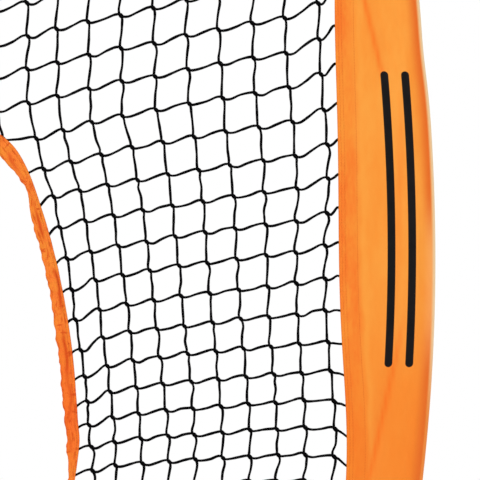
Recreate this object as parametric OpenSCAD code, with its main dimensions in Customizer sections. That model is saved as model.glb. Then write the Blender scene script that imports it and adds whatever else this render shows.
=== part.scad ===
// Free-standing training screen: a square-mesh net with a bound pitch-through
// opening, hung between two bowed poles in fabric sleeves, on a knock-down steel
// base with four folding legs.
// Origin: on the floor, under the middle of the base. X to the right, Y to the
// back, Z up. Millimetres.

/* [Screen] */
// Height of the whole screen above the floor
screen_h = 2134; // [2000:1:2300]
// Width over the sleeves, where the poles bow out furthest
screen_w = 2134; // [2050:1:2300]
// Radius of the bow of each pole's centre line
bow_radius = 3000; // [2800:10:3600]

/* [Poles] */
// Outside diameter of the fibreglass pole
pole_d = 12.7; // [11:0.1:14]
// Bore of the pole, for the shock cord
pole_bore = 7; // [5:0.5:8]
// Height of the joint between the lower and middle sections
joint_low_z = 760; // [600:10:900]
// Height of the joint between the middle and upper sections
joint_high_z = 1440; // [1300:10:1600]
// Height of the pole's top end
pole_top_z = 2110; // [1980:1:2110]
// Length of a steel ferrule over a joint
ferrule_l = 90; // [60:5:120]

/* [Sleeves] */
// Outside diameter of the fabric tube round the pole
sleeve_d = 20; // [19:0.5:24]
// Width of the sleeve at mid-height
sleeve_mid_w = 134; // [110:1:150]
// Width of the sleeve at its two ends
sleeve_end_w = 50; // [40:1:70]
// Thickness of the flat, doubled part of the sleeve
sleeve_t = 6; // [4:0.5:8]
// Height of the sleeve's lower end
sleeve_low_z = 122; // [120:1:160]

/* [Net] */
// Length of one side of a mesh
mesh = 44.5; // [38:0.5:60]
// Thickness of the net's cord
cord_d = 3; // [2:0.1:4]

/* [Opening] */
// Half-width of the opening over its binding
open_half_w = 568; // [450:1:600]
// Height above the floor at which the opening is widest
open_wide_z = 790; // [750:1:850]
// Height above the floor of the middle of the opening's arched top
open_top_z = 1330; // [1250:1:1400]
// Radius of the arched top
open_top_r = 1130; // [900:10:1600]
// Rise that the curve of the sides would reach without the arched top
open_rise = 812; // [700:1:1000]
// Drop from the widest level to the bottom of the opening
open_drop = 370; // [300:1:420]
// Width of the fabric binding round the opening
binding_w = 20; // [14:1:30]

/* [Base] */
// Height of the base tubes' centre line
tube_z = 28; // [27:0.5:34]
// Outside diameter of the base tubes
base_d = 25.4; // [25:0.1:28]
// Wall of the steel tubes
tube_wall = 1.5; // [1.2:0.1:1.6]
// Half-length of the centre tube
center_half = 300; // [280:5:340]
// Length of each spigot that slides into a tube
spigot_l = 75; // [60:5:90]

/* [Legs] */
// Distance from a leg's pivot to its outer end
leg_reach = 440; // [300:5:460]
// Outside diameter of the leg tube
leg_d = 22.2; // [20:0.1:23]
// Distance of a leg's pivot from the line of the base
pivot_y = 42; // [38:1:50]
// Diameter of the pivot bolts
bolt_d = 8; // [6:1:8]
// Gap between the two plates that hold a leg's knuckle
clevis_gap = 26.8; // [26:0.1:30]
// Thickness of the bracket's plates
plate_t = 3; // [2.5:0.5:4]

/* [Hidden] */

$fn = 48;
steel = "dimgray";
fabric = "darkorange";

// the bow: an arc about a centre on the far side of the screen
bow_z = screen_h / 2;
bow_x = screen_w / 2 - sleeve_d / 2 - bow_radius;
bore_d = sleeve_d - 3.6;      // inside the fabric tube
socket_top_z = 115;           // where the pole leaves its socket and starts to bow
pole_low_z = 46;              // the pole's lower end
lean = asin((bow_z - socket_top_z) / bow_radius);
socket_x = bow_x + bow_radius * cos(lean);
hub_x = socket_x - (socket_top_z - tube_z) * tan(lean);
pole_end_l = (socket_top_z - pole_low_z) / cos(lean);
turned_d = 0.1;               // by which the straight end is thinner than the bow
lap_l = 5;                    // of the straight end inside the bow
fit_gap = 0.15;               // between a pole or spigot and what it slides into
ferrule_t = 1.35;
tip_t = 1.5;
tip_l = 24;
shock_cord_d = 3;

// the fabric outline
pocket_t = 2;
pocket_l = 60;
pocket_top_z = screen_h - (sleeve_d / 2 + pocket_t) * sin(bow_angle(screen_h));
sleeve_top_z = pocket_top_z - pocket_t;
hem_h = 40;
hem_t = 6;
hem_low_z = 105;
net_low_z = hem_low_z + hem_h;
net_top_z = screen_h - hem_h;
edge_steps = 24;
edge_zs = concat([hem_low_z, sleeve_low_z],
    [for (i = [0:edge_steps]) net_low_z + (net_top_z - net_low_z) * i / edge_steps],
    [sleeve_top_z]);
open_steps = 120;
open_corner = 50;             // how sharply the sides turn into the arched top
cord_sides = 8;
layer_gap = 0.1;              // between the upright and the level cords

// the base
base_r = base_d / 2;
spigot_r = base_r - tube_wall - fit_gap;
spigot_bore_r = spigot_r - tube_wall;
swage_l = 4;
hub_r = 20;
hub_h = clevis_gap + 2 * plate_t;
hub_top_z = tube_z + hub_h / 2;
socket_d = pole_d + 2 * fit_gap + 6;
weld = 2.5;                   // width of the weld round the socket's foot
gusset_t = 4;
gusset_top_z = 88;
collar_x = hub_x - hub_r;     // where the side tube stops against the hub
spigot_end_x = collar_x - spigot_l;
button_r = 3;
button_hole_r = 3.2;
button_proud = 1;             // under its dome
flange_r = 4.4;
flange_t = 1.2;
flange_z = tube_z + spigot_bore_r - 1.6;
clip_t = 0.8;
clip_w = 5;
clip_l = 42;
inner_button_x = center_half - spigot_l / 2;
outer_button_x = spigot_end_x + 28;

// the legs
knuckle_h = clevis_gap - 0.4;
knuckle_r = 13;
knuckle_bore_r = bolt_d / 2 + 0.05;
leg_start = 30;
collar_l = 3;                 // on the knuckle, against the tube's end
plug_l = 38;
rivet_x = leg_start + plug_l / 2;
rivet_d = 5;
rivet_gap = 0.1;
rivet_head_d = 9;
rivet_head_t = 1.8;
plate_r = 16;
foot_r = 15;
foot_wall = 3;
foot_l = 42;
grip_t = 1;                   // by which the foot's rings and sole stand out
grip_w = 4;
head_h = 5.3;
nut_h = 6.5;
hex_r = 7.5;
washer_t = 1.6;

// the bungee loops
bungee_d = 4;
bungee_r = base_r + bungee_d / 2 + 0.2;
bungee_top_z = hem_low_z + hem_h / 2;
bungee_xs = [for (x = [100:200:700]) for (s = [-1, 1]) s * x];
ball_r = 9;
ball_z = 72;

// ---- shapes that repeat ----

// angle about the bow's centre at height z
function bow_angle(z) = asin((z - bow_z) / bow_radius);

// the pole's centre line at height z
function pole_x(z) = bow_x + sqrt(pow(bow_radius, 2) - pow(z - bow_z, 2));

// the sleeve is widest at mid-height and narrows to its ends
function sleeve_w(z) = sleeve_end_w
    + (sleeve_mid_w - sleeve_end_w) * (1 + cos(180 * (z - bow_z) / bow_z)) / 2;

// the sleeve's inner edge, where the net is sewn in
function sleeve_in(z) = pole_x(z) + sleeve_d / 2 - sleeve_w(z);

// heights at which the fabric's edges are drawn, so that neighbours share them
function levels(z0, z1) = [for (z = edge_zs) if (z >= z0 && z <= z1) z];

function reversed(list) = [for (i = [len(list) - 1:-1:0]) list[i]];

// distance from the middle of the opening's widest level to its outline, t degrees
// from the top, inset by d: on the sides, on the arched top and on the whole outline
function side_reach(t, d) = 1 / sqrt(pow(sin(t) / (open_half_w - d), 2)
    + pow(cos(t) / ((cos(t) > 0 ? open_rise : open_drop) - d), 2));

function top_reach(t, d) = let (drop = open_wide_z + open_top_r - open_top_z)
    sqrt(pow(open_top_r - d, 2) - pow(drop * sin(t), 2)) - drop * cos(t);

function open_reach(t, d) = cos(t) < 0 ? side_reach(t, d)
    : pow(pow(side_reach(t, d), -open_corner) + pow(top_reach(t, d), -open_corner),
          -1 / open_corner);

// a point of the opening's outline
function open_pt(t, d) = open_reach(t, d) * [sin(t), cos(t)] + [0, open_wide_z];

// children(0) is a 2D section round the pole's centre line, swept along the bow
module along_bow(z0, z1) {
    translate([bow_x, 0, bow_z])
        rotate([90, 0, 0])
            rotate([0, 0, bow_angle(z0)])
                rotate_extrude(angle = bow_angle(z1) - bow_angle(z0), $fn = 720)
                    translate([bow_radius, 0])
                        children();
}

module ring(d_out, d_in) {
    difference() {
        circle(d = d_out);
        circle(d = d_in);
    }
}

// children stand on the pole's straight lower end, at the top of the socket,
// and point down along it
module along_socket() {
    translate([socket_x, 0, socket_top_z])
        rotate([0, lean, 0])
            mirror([0, 0, 1])
                children();
}

// a level tube along X from x0 to x1
module level_tube(x0, x1, r_out, r_in) {
    translate([x0, 0, tube_z])
        rotate([0, 90, 0])
            difference() {
                cylinder(r = r_out, h = x1 - x0);
                translate([0, 0, -1])
                    cylinder(r = r_in, h = x1 - x0 + 2);
            }
}

module button_hole(x) {
    translate([x, 0, tube_z])
        cylinder(r = button_hole_r, h = base_d);
}

// an upright slab: the children's X and Y are the screen's X and Z
module slab(t) {
    translate([0, t / 2, 0])
        rotate([90, 0, 0])
            linear_extrude(t)
                children();
}

// everything between the two sleeves' inner edges, from z0 to z1
module between_sleeves(z0, z1) {
    polygon(concat(
        [for (z = levels(z0, z1)) [sleeve_in(z), z]],
        [for (z = reversed(levels(z0, z1))) [-sleeve_in(z), z]]));
}

module opening(inset) {
    polygon([for (i = [0:open_steps - 1]) open_pt(360 * i / open_steps, inset)]);
}

// mirrored copy for the left side
module on_side(side) {
    mirror([side < 0 ? 1 : 0, 0, 0])
        children();
}

// a leg's own frame: origin at the pivot, +X along the leg
module on_leg(side, front) {
    on_side(side)
        translate([hub_x, front * pivot_y, tube_z])
            rotate([0, 0, front * 90])
                children();
}

// ---- base ----

module base_center_tube() {
    color(steel)
        difference() {
            level_tube(-center_half, center_half, base_r, base_r - tube_wall);
            for (s = [-1, 1])
                button_hole(s * inner_button_x);
        }
}

// full-size tube with a swaged spigot that slides into the centre tube
module base_side_tube(side) {
    color(steel)
        on_side(side)
            difference() {
                translate([center_half, 0, tube_z])
                    rotate([0, 90, 0])
                        rotate_extrude()
                            polygon([[spigot_bore_r, -spigot_l], [spigot_r, -spigot_l],
                                     [spigot_r, 0.2], [base_r, swage_l],
                                     [base_r, collar_x - center_half],
                                     [base_r - tube_wall, collar_x - center_half],
                                     [base_r - tube_wall, swage_l + tube_wall],
                                     [spigot_bore_r, tube_wall]]);
                button_hole(inner_button_x);
                button_hole(outer_button_x);
            }
}

// spring button: a domed pin with a flange that keeps it in the tube
module snap_button(side, x) {
    dome_z = tube_z + base_r + button_proud;
    color("silver")
        on_side(side)
            translate([x, 0, 0]) {
                translate([0, 0, flange_z - flange_t])
                    cylinder(r = flange_r, h = flange_t);
                translate([0, 0, flange_z - flange_t])
                    cylinder(r = button_r, h = dome_z - flange_z + flange_t);
                translate([0, 0, dome_z])
                    sphere(r = button_r);
            }
}

// folded flat-steel spring inside the tube, under the button
module snap_clip(side, x) {
    top = flange_z - flange_t - 0.05;
    low = tube_z - spigot_bore_r + 1.4;
    mid = (top + low) / 2;
    color("lightgray")
        on_side(side)
            translate([x, 0, 0])
                slab(clip_w)
                    polygon([[7, top], [-14, top], [-clip_l, mid], [-14, low], [7, low],
                             [7, low + clip_t], [-14, low + clip_t], [-clip_l + 2, mid],
                             [-14, top - clip_t], [7, top - clip_t]]);
}

// welded corner: hub, spigot, angled pole socket and the plates of two clevises
module corner_bracket(side) {
    color(steel)
        on_side(side)
            difference() {
                union() {
                    translate([hub_x, 0, tube_z - hub_h / 2])
                        cylinder(r = hub_r, h = hub_h);
                    translate([spigot_end_x, 0, tube_z])
                        rotate([0, 90, 0])
                            cylinder(r = spigot_r, h = spigot_l + hub_r);
                    along_socket() {
                        cylinder(d = socket_d, h = socket_top_z - tube_z);
                        translate([0, 0, (socket_top_z - hub_top_z) / cos(lean) - weld])
                            cylinder(d1 = socket_d, d2 = socket_d + 4 * weld, h = 2 * weld);
                    }
                    slab(gusset_t)
                        polygon([[hub_x - hub_r + 5, hub_top_z - 1], [hub_x + 5, hub_top_z - 1],
                                 [socket_x - (socket_top_z - gusset_top_z) * tan(lean),
                                  gusset_top_z]]);
                    for (z = [tube_z - hub_h / 2, hub_top_z - plate_t])
                        translate([hub_x, 0, z])
                            clevis_plate();
                }
                along_socket()
                    translate([0, 0, -1])
                        cylinder(d = pole_d + 2 * fit_gap, h = pole_end_l + 1);
                translate([spigot_end_x - 1, 0, tube_z])
                    rotate([0, 90, 0])
                        cylinder(r = spigot_bore_r, h = spigot_l + 1);
                button_hole_in_spigot();
                for (s = [-1, 1])
                    translate([hub_x, s * pivot_y, 0])
                        cylinder(r = bolt_d / 2 + 0.1, h = tube_z + hub_h);
            }
}

module button_hole_in_spigot() {
    translate([outer_button_x, 0, tube_z])
        cylinder(r = button_hole_r, h = spigot_r + 1);
}

module clevis_plate() {
    linear_extrude(plate_t)
        union() {
            for (s = [-1, 1])
                translate([0, s * pivot_y])
                    circle(r = plate_r);
            translate([-plate_r, -pivot_y])
                square([2 * plate_r, 2 * pivot_y]);
        }
}

// rubber pad under the hub
module bracket_pad(side) {
    color("black")
        on_side(side)
            translate([hub_x, 0, 0])
                cylinder(r = hub_r - 1, h = tube_z - hub_h / 2);
}

module pivot_bolts(side) {
    color("silver")
        on_side(side)
            for (s = [-1, 1])
                translate([hub_x, s * pivot_y, hub_top_z]) {
                    translate([0, 0, washer_t])
                        cylinder(r = hex_r, h = head_h, $fn = 6);
                    cylinder(r = hex_r + 0.8, h = washer_t);
                    translate([0, 0, -hub_h - nut_h - 1.5])
                        cylinder(d = bolt_d, h = hub_h + nut_h + 1.5 + washer_t);
                }
}

module pivot_nuts(side) {
    color("silver")
        on_side(side)
            for (s = [-1, 1])
                translate([hub_x, s * pivot_y, tube_z - hub_h / 2 - nut_h])
                    difference() {
                        cylinder(r = hex_r, h = nut_h, $fn = 6);
                        translate([0, 0, -1])
                            cylinder(r = bolt_d / 2 + 0.05, h = nut_h + 2);
                    }
}

// ---- legs ----

module leg_tube(side, front) {
    color(steel)
        on_leg(side, front)
            difference() {
                translate([leg_start, 0, 0])
                    rotate([0, 90, 0])
                        difference() {
                            cylinder(d = leg_d, h = leg_reach - leg_start - foot_wall);
                            translate([0, 0, -1])
                                cylinder(d = leg_d - 2 * tube_wall, h = leg_reach);
                        }
                rivet_hole();
            }
}

module rivet_hole() {
    translate([rivet_x, 0, -leg_d])
        cylinder(d = rivet_d + 2 * rivet_gap, h = 2 * leg_d);
}

// upright rivet through the tube and the plug, with a domed head at each end
module leg_rivets(side, front) {
    color("silver")
        on_leg(side, front)
            translate([rivet_x, 0, 0]) {
                cylinder(d = rivet_d, h = leg_d + rivet_head_t, center = true);
                for (s = [-1, 1])
                    scale([1, 1, s])
                        translate([0, 0, leg_d / 2 + rivet_gap / 2])
                            intersection() {
                                scale([1, 1, 2 * rivet_head_t / rivet_head_d])
                                    sphere(d = rivet_head_d);
                                cylinder(d = rivet_head_d, h = rivet_head_t);
                            }
            }
}

// moulded knuckle: an eye on the pivot bolt and a plug pressed into the tube
module knuckle(side, front) {
    plug_d = leg_d - 2 * tube_wall - 0.2;
    color("black")
        on_leg(side, front)
            difference() {
                union() {
                    hull() {
                        cylinder(r = knuckle_r - 1, h = knuckle_h, center = true);
                        cylinder(r = knuckle_r, h = knuckle_h - 2, center = true);
                    }
                    rotate([0, 90, 0])
                        cylinder(d = leg_d, h = leg_start);
                    translate([leg_start - collar_l, 0, 0])
                        rotate([0, 90, 0])
                            cylinder(d = leg_d + 2, h = collar_l);
                    rotate([0, 90, 0])
                        cylinder(d = plug_d, h = leg_start + plug_l);
                }
                translate([0, 0, -knuckle_h])
                    cylinder(r = knuckle_bore_r, h = 2 * knuckle_h);
                rivet_hole();
            }
}

// rubber foot: a cup over the tube's end with a round pad down to the floor
module foot(side, front) {
    color("black")
        on_leg(side, front)
            difference() {
                union() {
                    translate([leg_reach - foot_l, 0, 0])
                        rotate([0, 90, 0]) {
                            cylinder(d = leg_d + 2 * foot_wall, h = foot_l - grip_t);
                            cylinder(d = leg_d + 2 * (foot_wall - grip_t), h = foot_l);
                            for (x = [0:2 * grip_w:foot_l - 2 * grip_w])
                                translate([0, 0, x])
                                    cylinder(d = leg_d + 2 * (foot_wall + grip_t), h = grip_w);
                        }
                    translate([leg_reach - foot_l / 2, 0, -tube_z]) {
                        cylinder(r = foot_r, h = tube_z);
                        cylinder(r = foot_r + 2 * grip_t, h = grip_w);
                    }
                }
                translate([leg_reach - foot_l - 1, 0, 0])
                    rotate([0, 90, 0])
                        cylinder(d = leg_d + 0.1, h = foot_l - foot_wall + 1);
            }
}

// ---- poles ----

module pole_tube(z0, z1) {
    along_bow(z0, z1)
        ring(pole_d, pole_bore);
}

// the lower section is straight where it sits in the socket
module pole_lower(side) {
    color("dimgray")
        on_side(side) {
            pole_tube(socket_top_z, joint_low_z - 0.2);
            along_socket()
                translate([0, 0, -lap_l])
                    linear_extrude(lap_l + pole_end_l)
                        ring(pole_d - turned_d, pole_bore + turned_d);
        }
}

module pole_middle(side) {
    color("dimgray")
        on_side(side)
            pole_tube(joint_low_z + 0.2, joint_high_z - 0.2);
}

module pole_upper(side) {
    color("dimgray")
        on_side(side)
            pole_tube(joint_high_z + 0.2, pole_top_z);
}

module ferrules(side) {
    color("silver")
        on_side(side)
            for (z = [joint_low_z, joint_high_z])
                along_bow(z - ferrule_l / 2, z + ferrule_l / 2)
                    ring(pole_d + 2 * (fit_gap + ferrule_t), pole_d + 2 * fit_gap);
}

// moulded cap on the pole's upper end
module pole_tip(side) {
    color("black")
        on_side(side)
            difference() {
                along_bow(pole_top_z - tip_l, pole_top_z + 2 * tip_t)
                    circle(d = pole_d + 2 * (fit_gap + tip_t));
                along_bow(pole_top_z - tip_l - 1, pole_top_z + fit_gap)
                    circle(d = pole_d + 2 * fit_gap);
            }
}

// elastic cord that holds the three sections together
module shock_cord(side) {
    color("black")
        on_side(side) {
            along_bow(socket_top_z, pole_top_z - 1)
                circle(d = shock_cord_d);
            along_socket()
                translate([0, 0, -lap_l])
                    cylinder(d = shock_cord_d - turned_d, h = lap_l + pole_end_l);
        }
}

// ---- fabric ----

// a tube round the pole with a flat, doubled web out to the seam of the net
module sleeve(side) {
    color(fabric)
        on_side(side)
            difference() {
                union() {
                    along_bow(sleeve_low_z, sleeve_top_z)
                        circle(d = sleeve_d);
                    slab(sleeve_t)
                        intersection() {
                            inside_bow();
                            polygon(concat(
                                [for (z = levels(sleeve_low_z, sleeve_top_z)) [sleeve_in(z), z]],
                                [[screen_w, sleeve_top_z], [screen_w, sleeve_low_z]]));
                        }
                }
                along_bow(sleeve_low_z - 20, pole_top_z + 2 * tip_t + fit_gap)
                    circle(d = bore_d);
            }
}

// everything on the inner side of the pole's centre line
module inside_bow() {
    translate([bow_x, bow_z])
        circle(r = bow_radius, $fn = 720);
}

// woven cap over the sleeve's upper end, where the pole pushes
module pole_pocket(side) {
    color("black")
        on_side(side)
            difference() {
                along_bow(sleeve_top_z - pocket_l, pocket_top_z)
                    circle(d = sleeve_d + 2 * pocket_t);
                along_bow(sleeve_top_z - pocket_l - 1, sleeve_top_z)
                    circle(d = sleeve_d + 0.1);
                slab(sleeve_t + 0.1)
                    intersection() {
                        inside_bow();
                        translate([0, sleeve_top_z - 2 * pocket_l])
                            square([screen_w, 2 * pocket_l]);
                    }
            }
}

// two layers of cord that cross without knots, cut to the fabric's outline
module net() {
    color("black") {
        layer = (cord_d + layer_gap) / 2;
        intersection() {
            slab(4 * cord_d)
                net_outline();
            translate([0, layer, 0])
                for (x = [-mesh * floor(screen_w / 2 / mesh):mesh:screen_w / 2])
                    translate([x, 0, 0])
                        cord(screen_h);
        }
        intersection() {
            slab(4 * cord_d)
                net_outline();
            translate([-screen_w / 2, -layer, 0])
                for (z = [net_low_z + mesh / 2:mesh:net_top_z])
                    translate([0, 0, z])
                        rotate([0, 90, 0])
                            cord(screen_w);
        }
    }
}

// eight flat sides, turned so that a flat faces the crossing cord
module cord(l) {
    rotate([0, 0, 180 / cord_sides])
        cylinder(d = cord_d / cos(180 / cord_sides), h = l, $fn = cord_sides);
}

module net_outline() {
    difference() {
        between_sleeves(net_low_z, net_top_z);
        opening(0);
    }
}

module opening_binding() {
    color(fabric)
        slab(sleeve_t)
            difference() {
                opening(0);
                opening(binding_w);
            }
}

module top_hem() {
    color(fabric)
        slab(hem_t)
            between_sleeves(net_top_z, sleeve_top_z);
}

module bottom_hem() {
    color(fabric)
        difference() {
            slab(hem_t)
                between_sleeves(hem_low_z, net_low_z);
            for (x = bungee_xs)
                translate([x, 0, bungee_top_z])
                    rotate([90, 0, 0])
                        cylinder(r = bungee_d + 2, h = 4 * hem_t, center = true);
        }
}

// webbing from the sleeve's lower end, looped round the base tube
module corner_strap(side) {
    strap_w = 20;
    strap_t = 2;
    ring_x = outer_button_x + 12;
    ring_top_z = tube_z + base_r + strap_t / 2;
    // its inner edge passes just beside the bottom hem's corner
    top_x = ring_x + (sleeve_in(hem_low_z) + 1 - ring_x)
        * (sleeve_low_z - ring_top_z) / (hem_low_z - ring_top_z);
    color("black")
        on_side(side)
            difference() {
                union() {
                    translate([ring_x, 0, tube_z])
                        rotate([0, 90, 0])
                            cylinder(r = base_r + 0.2 + strap_t, h = strap_w);
                    slab(strap_t)
                        polygon([[ring_x, ring_top_z], [ring_x + strap_w, ring_top_z],
                                 [top_x + strap_w, sleeve_low_z], [top_x, sleeve_low_z]]);
                }
                translate([ring_x - 1, 0, tube_z])
                    rotate([0, 90, 0])
                        cylinder(r = base_r + 0.2, h = strap_w + 2);
            }
}

// metal eyelets in the bottom hem
module hem_grommets() {
    color("silver")
        for (x = bungee_xs)
            translate([x, 0, bungee_top_z])
                rotate([90, 0, 0])
                    rotate_extrude()
                        polygon([[bungee_d, -hem_t / 2 - 0.8], [bungee_d + 5, -hem_t / 2 - 0.8],
                                 [bungee_d + 5, -hem_t / 2], [bungee_d + 2, -hem_t / 2],
                                 [bungee_d + 2, hem_t / 2], [bungee_d + 5, hem_t / 2],
                                 [bungee_d + 5, hem_t / 2 + 0.8], [bungee_d, hem_t / 2 + 0.8]]);
}

// elastic loops through the eyelets and round the base tubes
module bungee_loops() {
    color("black")
        for (x = bungee_xs)
            translate([x, 0, 0])
                rotate([0, 0, 90])
                    rotate([90, 0, 0]) {
                        translate([0, tube_z])
                            rotate([0, 0, 180])
                                half_ring();
                        for (s = [-1, 1])
                            translate([s * bungee_r, tube_z])
                                rotate([-90, 0, 0])
                                    cylinder(d = bungee_d, h = bungee_top_z - bungee_r - tube_z);
                        translate([0, bungee_top_z - bungee_r])
                            half_ring();
                    }
}

module half_ring() {
    rotate_extrude(angle = 180)
        translate([bungee_r, 0])
            circle(d = bungee_d);
}

// the ball that each loop is pulled over
module bungee_balls() {
    color("black")
        for (x = bungee_xs)
            translate([x, -bungee_r, ball_z])
                difference() {
                    sphere(r = ball_r);
                    translate([0, 0, -2 * ball_r])
                        cylinder(d = bungee_d + 0.2, h = 4 * ball_r);
                }
}

base_center_tube();
base_side_tube(-1);  // base_left_tube
base_side_tube(1);  // base_right_tube
snap_button(-1, inner_button_x);  // inner_button_left
snap_button(1, inner_button_x);  // inner_button_right
snap_button(-1, outer_button_x);  // outer_button_left
snap_button(1, outer_button_x);  // outer_button_right
snap_clip(-1, inner_button_x);  // inner_clip_left
snap_clip(1, inner_button_x);  // inner_clip_right
snap_clip(-1, outer_button_x);  // outer_clip_left
snap_clip(1, outer_button_x);  // outer_clip_right
corner_bracket(-1);  // corner_bracket_left
corner_bracket(1);  // corner_bracket_right
bracket_pad(-1);  // bracket_pad_left
bracket_pad(1);  // bracket_pad_right
pivot_bolts(-1);  // pivot_bolts_left
pivot_bolts(1);  // pivot_bolts_right
pivot_nuts(-1);  // pivot_nuts_left
pivot_nuts(1);  // pivot_nuts_right
leg_tube(-1, -1);  // leg_tube_front_left
leg_tube(1, -1);  // leg_tube_front_right
leg_tube(-1, 1);  // leg_tube_rear_left
leg_tube(1, 1);  // leg_tube_rear_right
knuckle(-1, -1);  // knuckle_front_left
knuckle(1, -1);  // knuckle_front_right
knuckle(-1, 1);  // knuckle_rear_left
knuckle(1, 1);  // knuckle_rear_right
foot(-1, -1);  // foot_front_left
foot(1, -1);  // foot_front_right
foot(-1, 1);  // foot_rear_left
foot(1, 1);  // foot_rear_right
leg_rivets(-1, -1);  // leg_rivets_front_left
leg_rivets(1, -1);  // leg_rivets_front_right
leg_rivets(-1, 1);  // leg_rivets_rear_left
leg_rivets(1, 1);  // leg_rivets_rear_right
pole_lower(-1);  // pole_lower_left
pole_lower(1);  // pole_lower_right
pole_middle(-1);  // pole_middle_left
pole_middle(1);  // pole_middle_right
pole_upper(-1);  // pole_upper_left
pole_upper(1);  // pole_upper_right
ferrules(-1);  // ferrules_left
ferrules(1);  // ferrules_right
pole_tip(-1);  // pole_tip_left
pole_tip(1);  // pole_tip_right
shock_cord(-1);  // shock_cord_left
shock_cord(1);  // shock_cord_right
sleeve(-1);  // sleeve_left
sleeve(1);  // sleeve_right
pole_pocket(-1);  // pole_pocket_left
pole_pocket(1);  // pole_pocket_right
net();
opening_binding();
top_hem();
bottom_hem();
corner_strap(-1);  // corner_strap_left
corner_strap(1);  // corner_strap_right
hem_grommets();
bungee_loops();
bungee_balls();
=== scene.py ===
"""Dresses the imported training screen: net, fabric, base and studio stage.

Metres throughout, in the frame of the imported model: X to the right, Y to the back,
Z up, with the origin on the floor under the middle of the base.
"""
import functools
import math
import random

import bpy
import numpy as np
from bpy.props import FloatProperty, FloatVectorProperty, IntProperty, PointerProperty
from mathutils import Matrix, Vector, noise


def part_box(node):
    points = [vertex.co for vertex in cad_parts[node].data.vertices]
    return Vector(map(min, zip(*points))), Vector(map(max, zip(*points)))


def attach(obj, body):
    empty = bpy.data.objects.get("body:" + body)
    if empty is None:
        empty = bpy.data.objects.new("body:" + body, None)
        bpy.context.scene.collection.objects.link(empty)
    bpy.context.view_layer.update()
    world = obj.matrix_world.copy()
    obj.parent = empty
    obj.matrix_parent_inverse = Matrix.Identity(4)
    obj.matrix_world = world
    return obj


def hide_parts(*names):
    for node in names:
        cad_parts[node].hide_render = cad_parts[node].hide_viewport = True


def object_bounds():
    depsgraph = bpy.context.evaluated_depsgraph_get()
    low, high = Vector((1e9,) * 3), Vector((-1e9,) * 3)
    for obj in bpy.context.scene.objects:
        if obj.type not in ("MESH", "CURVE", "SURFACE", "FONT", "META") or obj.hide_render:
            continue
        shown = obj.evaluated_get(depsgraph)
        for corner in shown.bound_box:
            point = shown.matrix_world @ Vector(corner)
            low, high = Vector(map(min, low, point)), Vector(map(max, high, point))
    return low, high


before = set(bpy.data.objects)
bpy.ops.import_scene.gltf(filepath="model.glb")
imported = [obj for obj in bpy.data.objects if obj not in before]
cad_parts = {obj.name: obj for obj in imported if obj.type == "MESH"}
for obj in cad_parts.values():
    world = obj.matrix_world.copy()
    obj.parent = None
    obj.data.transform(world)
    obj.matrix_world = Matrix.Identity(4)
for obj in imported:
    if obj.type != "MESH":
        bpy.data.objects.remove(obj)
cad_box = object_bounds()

bl_info = {
    "name": "Training Screen",
    "version": (1, 0, 0),
    "blender": (4, 5, 0),
    "location": "View3D > Sidebar > Screen",
    "description": "Builds the net, the fabric and the finishes of a portable training screen",
    "category": "Object",
}

MM = 0.001
BODY = "screen"
SCREEN_TOP = cad_box[1].z
MID_Z = SCREEN_TOP / 2
HALF_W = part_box("sleeve_right")[1].x
SLEEVE_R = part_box("sleeve_right")[1].y
SLEEVE_LOW, SLEEVE_HIGH = (corner.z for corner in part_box("sleeve_right"))
HEM_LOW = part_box("bottom_hem")[0].z
NET_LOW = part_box("bottom_hem")[1].z
NET_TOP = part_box("top_hem")[0].z
TUBE_Z = (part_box("base_center_tube")[0].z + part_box("base_center_tube")[1].z) / 2
TUBE_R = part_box("base_center_tube")[1].y
SIDES = (("left", -1), ("right", 1))
SHOULDER_Z = 1.19           # where the opening's sides turn into its arched top
RIM_LIGHT_Z = 1.02              # where the painted highlight on the sleeves' outer edge is strongest and their painted edge shade weakest
CLOTH_INSET = 0.3 * MM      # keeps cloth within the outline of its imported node


def srgb(red, green, blue):
    """Screen values from 0 to 255 as the linear colour that Blender mixes."""
    values = (channel / 255 for channel in (red, green, blue))
    return tuple(v / 12.92 if v <= 0.04045 else ((v + 0.055) / 1.055) ** 2.4 for v in values)


# ---- settings ----


class BowSettings(bpy.types.PropertyGroup):
    """The bowed poles and the sleeves round them"""
    radius: FloatProperty(
        name="Radius", description="Radius of the bow of each pole", default=3.0, unit="LENGTH")
    mid_width: FloatProperty(
        name="Width at mid-height", description="Width of a sleeve at mid-height",
        default=134 * MM, unit="LENGTH")
    end_width: FloatProperty(
        name="Width at the ends", description="Width of a sleeve at its two ends",
        default=50 * MM, unit="LENGTH")
    cloth: FloatProperty(
        name="Cloth", description="Thickness of one layer of the sleeve", default=0.9 * MM,
        unit="LENGTH")


class NetSettings(bpy.types.PropertyGroup):
    """The mesh of the net and how it hangs"""
    columns: IntProperty(
        name="Half columns", description="Upright cords from the middle to one sleeve", default=20)
    cord: FloatProperty(
        name="Cord", description="Thickness of a cord", default=3.8 * MM, unit="LENGTH")
    mesh_low: FloatProperty(
        name="Mesh at mid-height", description="Height of a mesh where the net hangs slack",
        default=41.6 * MM, unit="LENGTH")
    mesh_gain: FloatProperty(
        name="Mesh gain", description="How much a mesh is drawn out or closed up above and below",
        default=10.3 * MM, unit="LENGTH")
    droop: FloatProperty(
        name="Droop", description="Fall of a level cord from one mesh to the next",
        default=4.9 * MM, unit="LENGTH")
    droop_gain: FloatProperty(
        name="Droop gain", description="How much the fall grows towards the top",
        default=7.3 * MM, unit="LENGTH")
    crowding: FloatProperty(
        name="Crowding", description="How far the opening pushes the upright cords outwards",
        default=87 * MM, unit="LENGTH")
    joint_half_w: FloatProperty(
        name="Joint half-width", description="Half the width over which two cords run together",
        default=1.6 * MM, unit="LENGTH")
    joint_half_h: FloatProperty(
        name="Joint half-height", description="Half the height over which two cords run together",
        default=1.6 * MM, unit="LENGTH")


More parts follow.
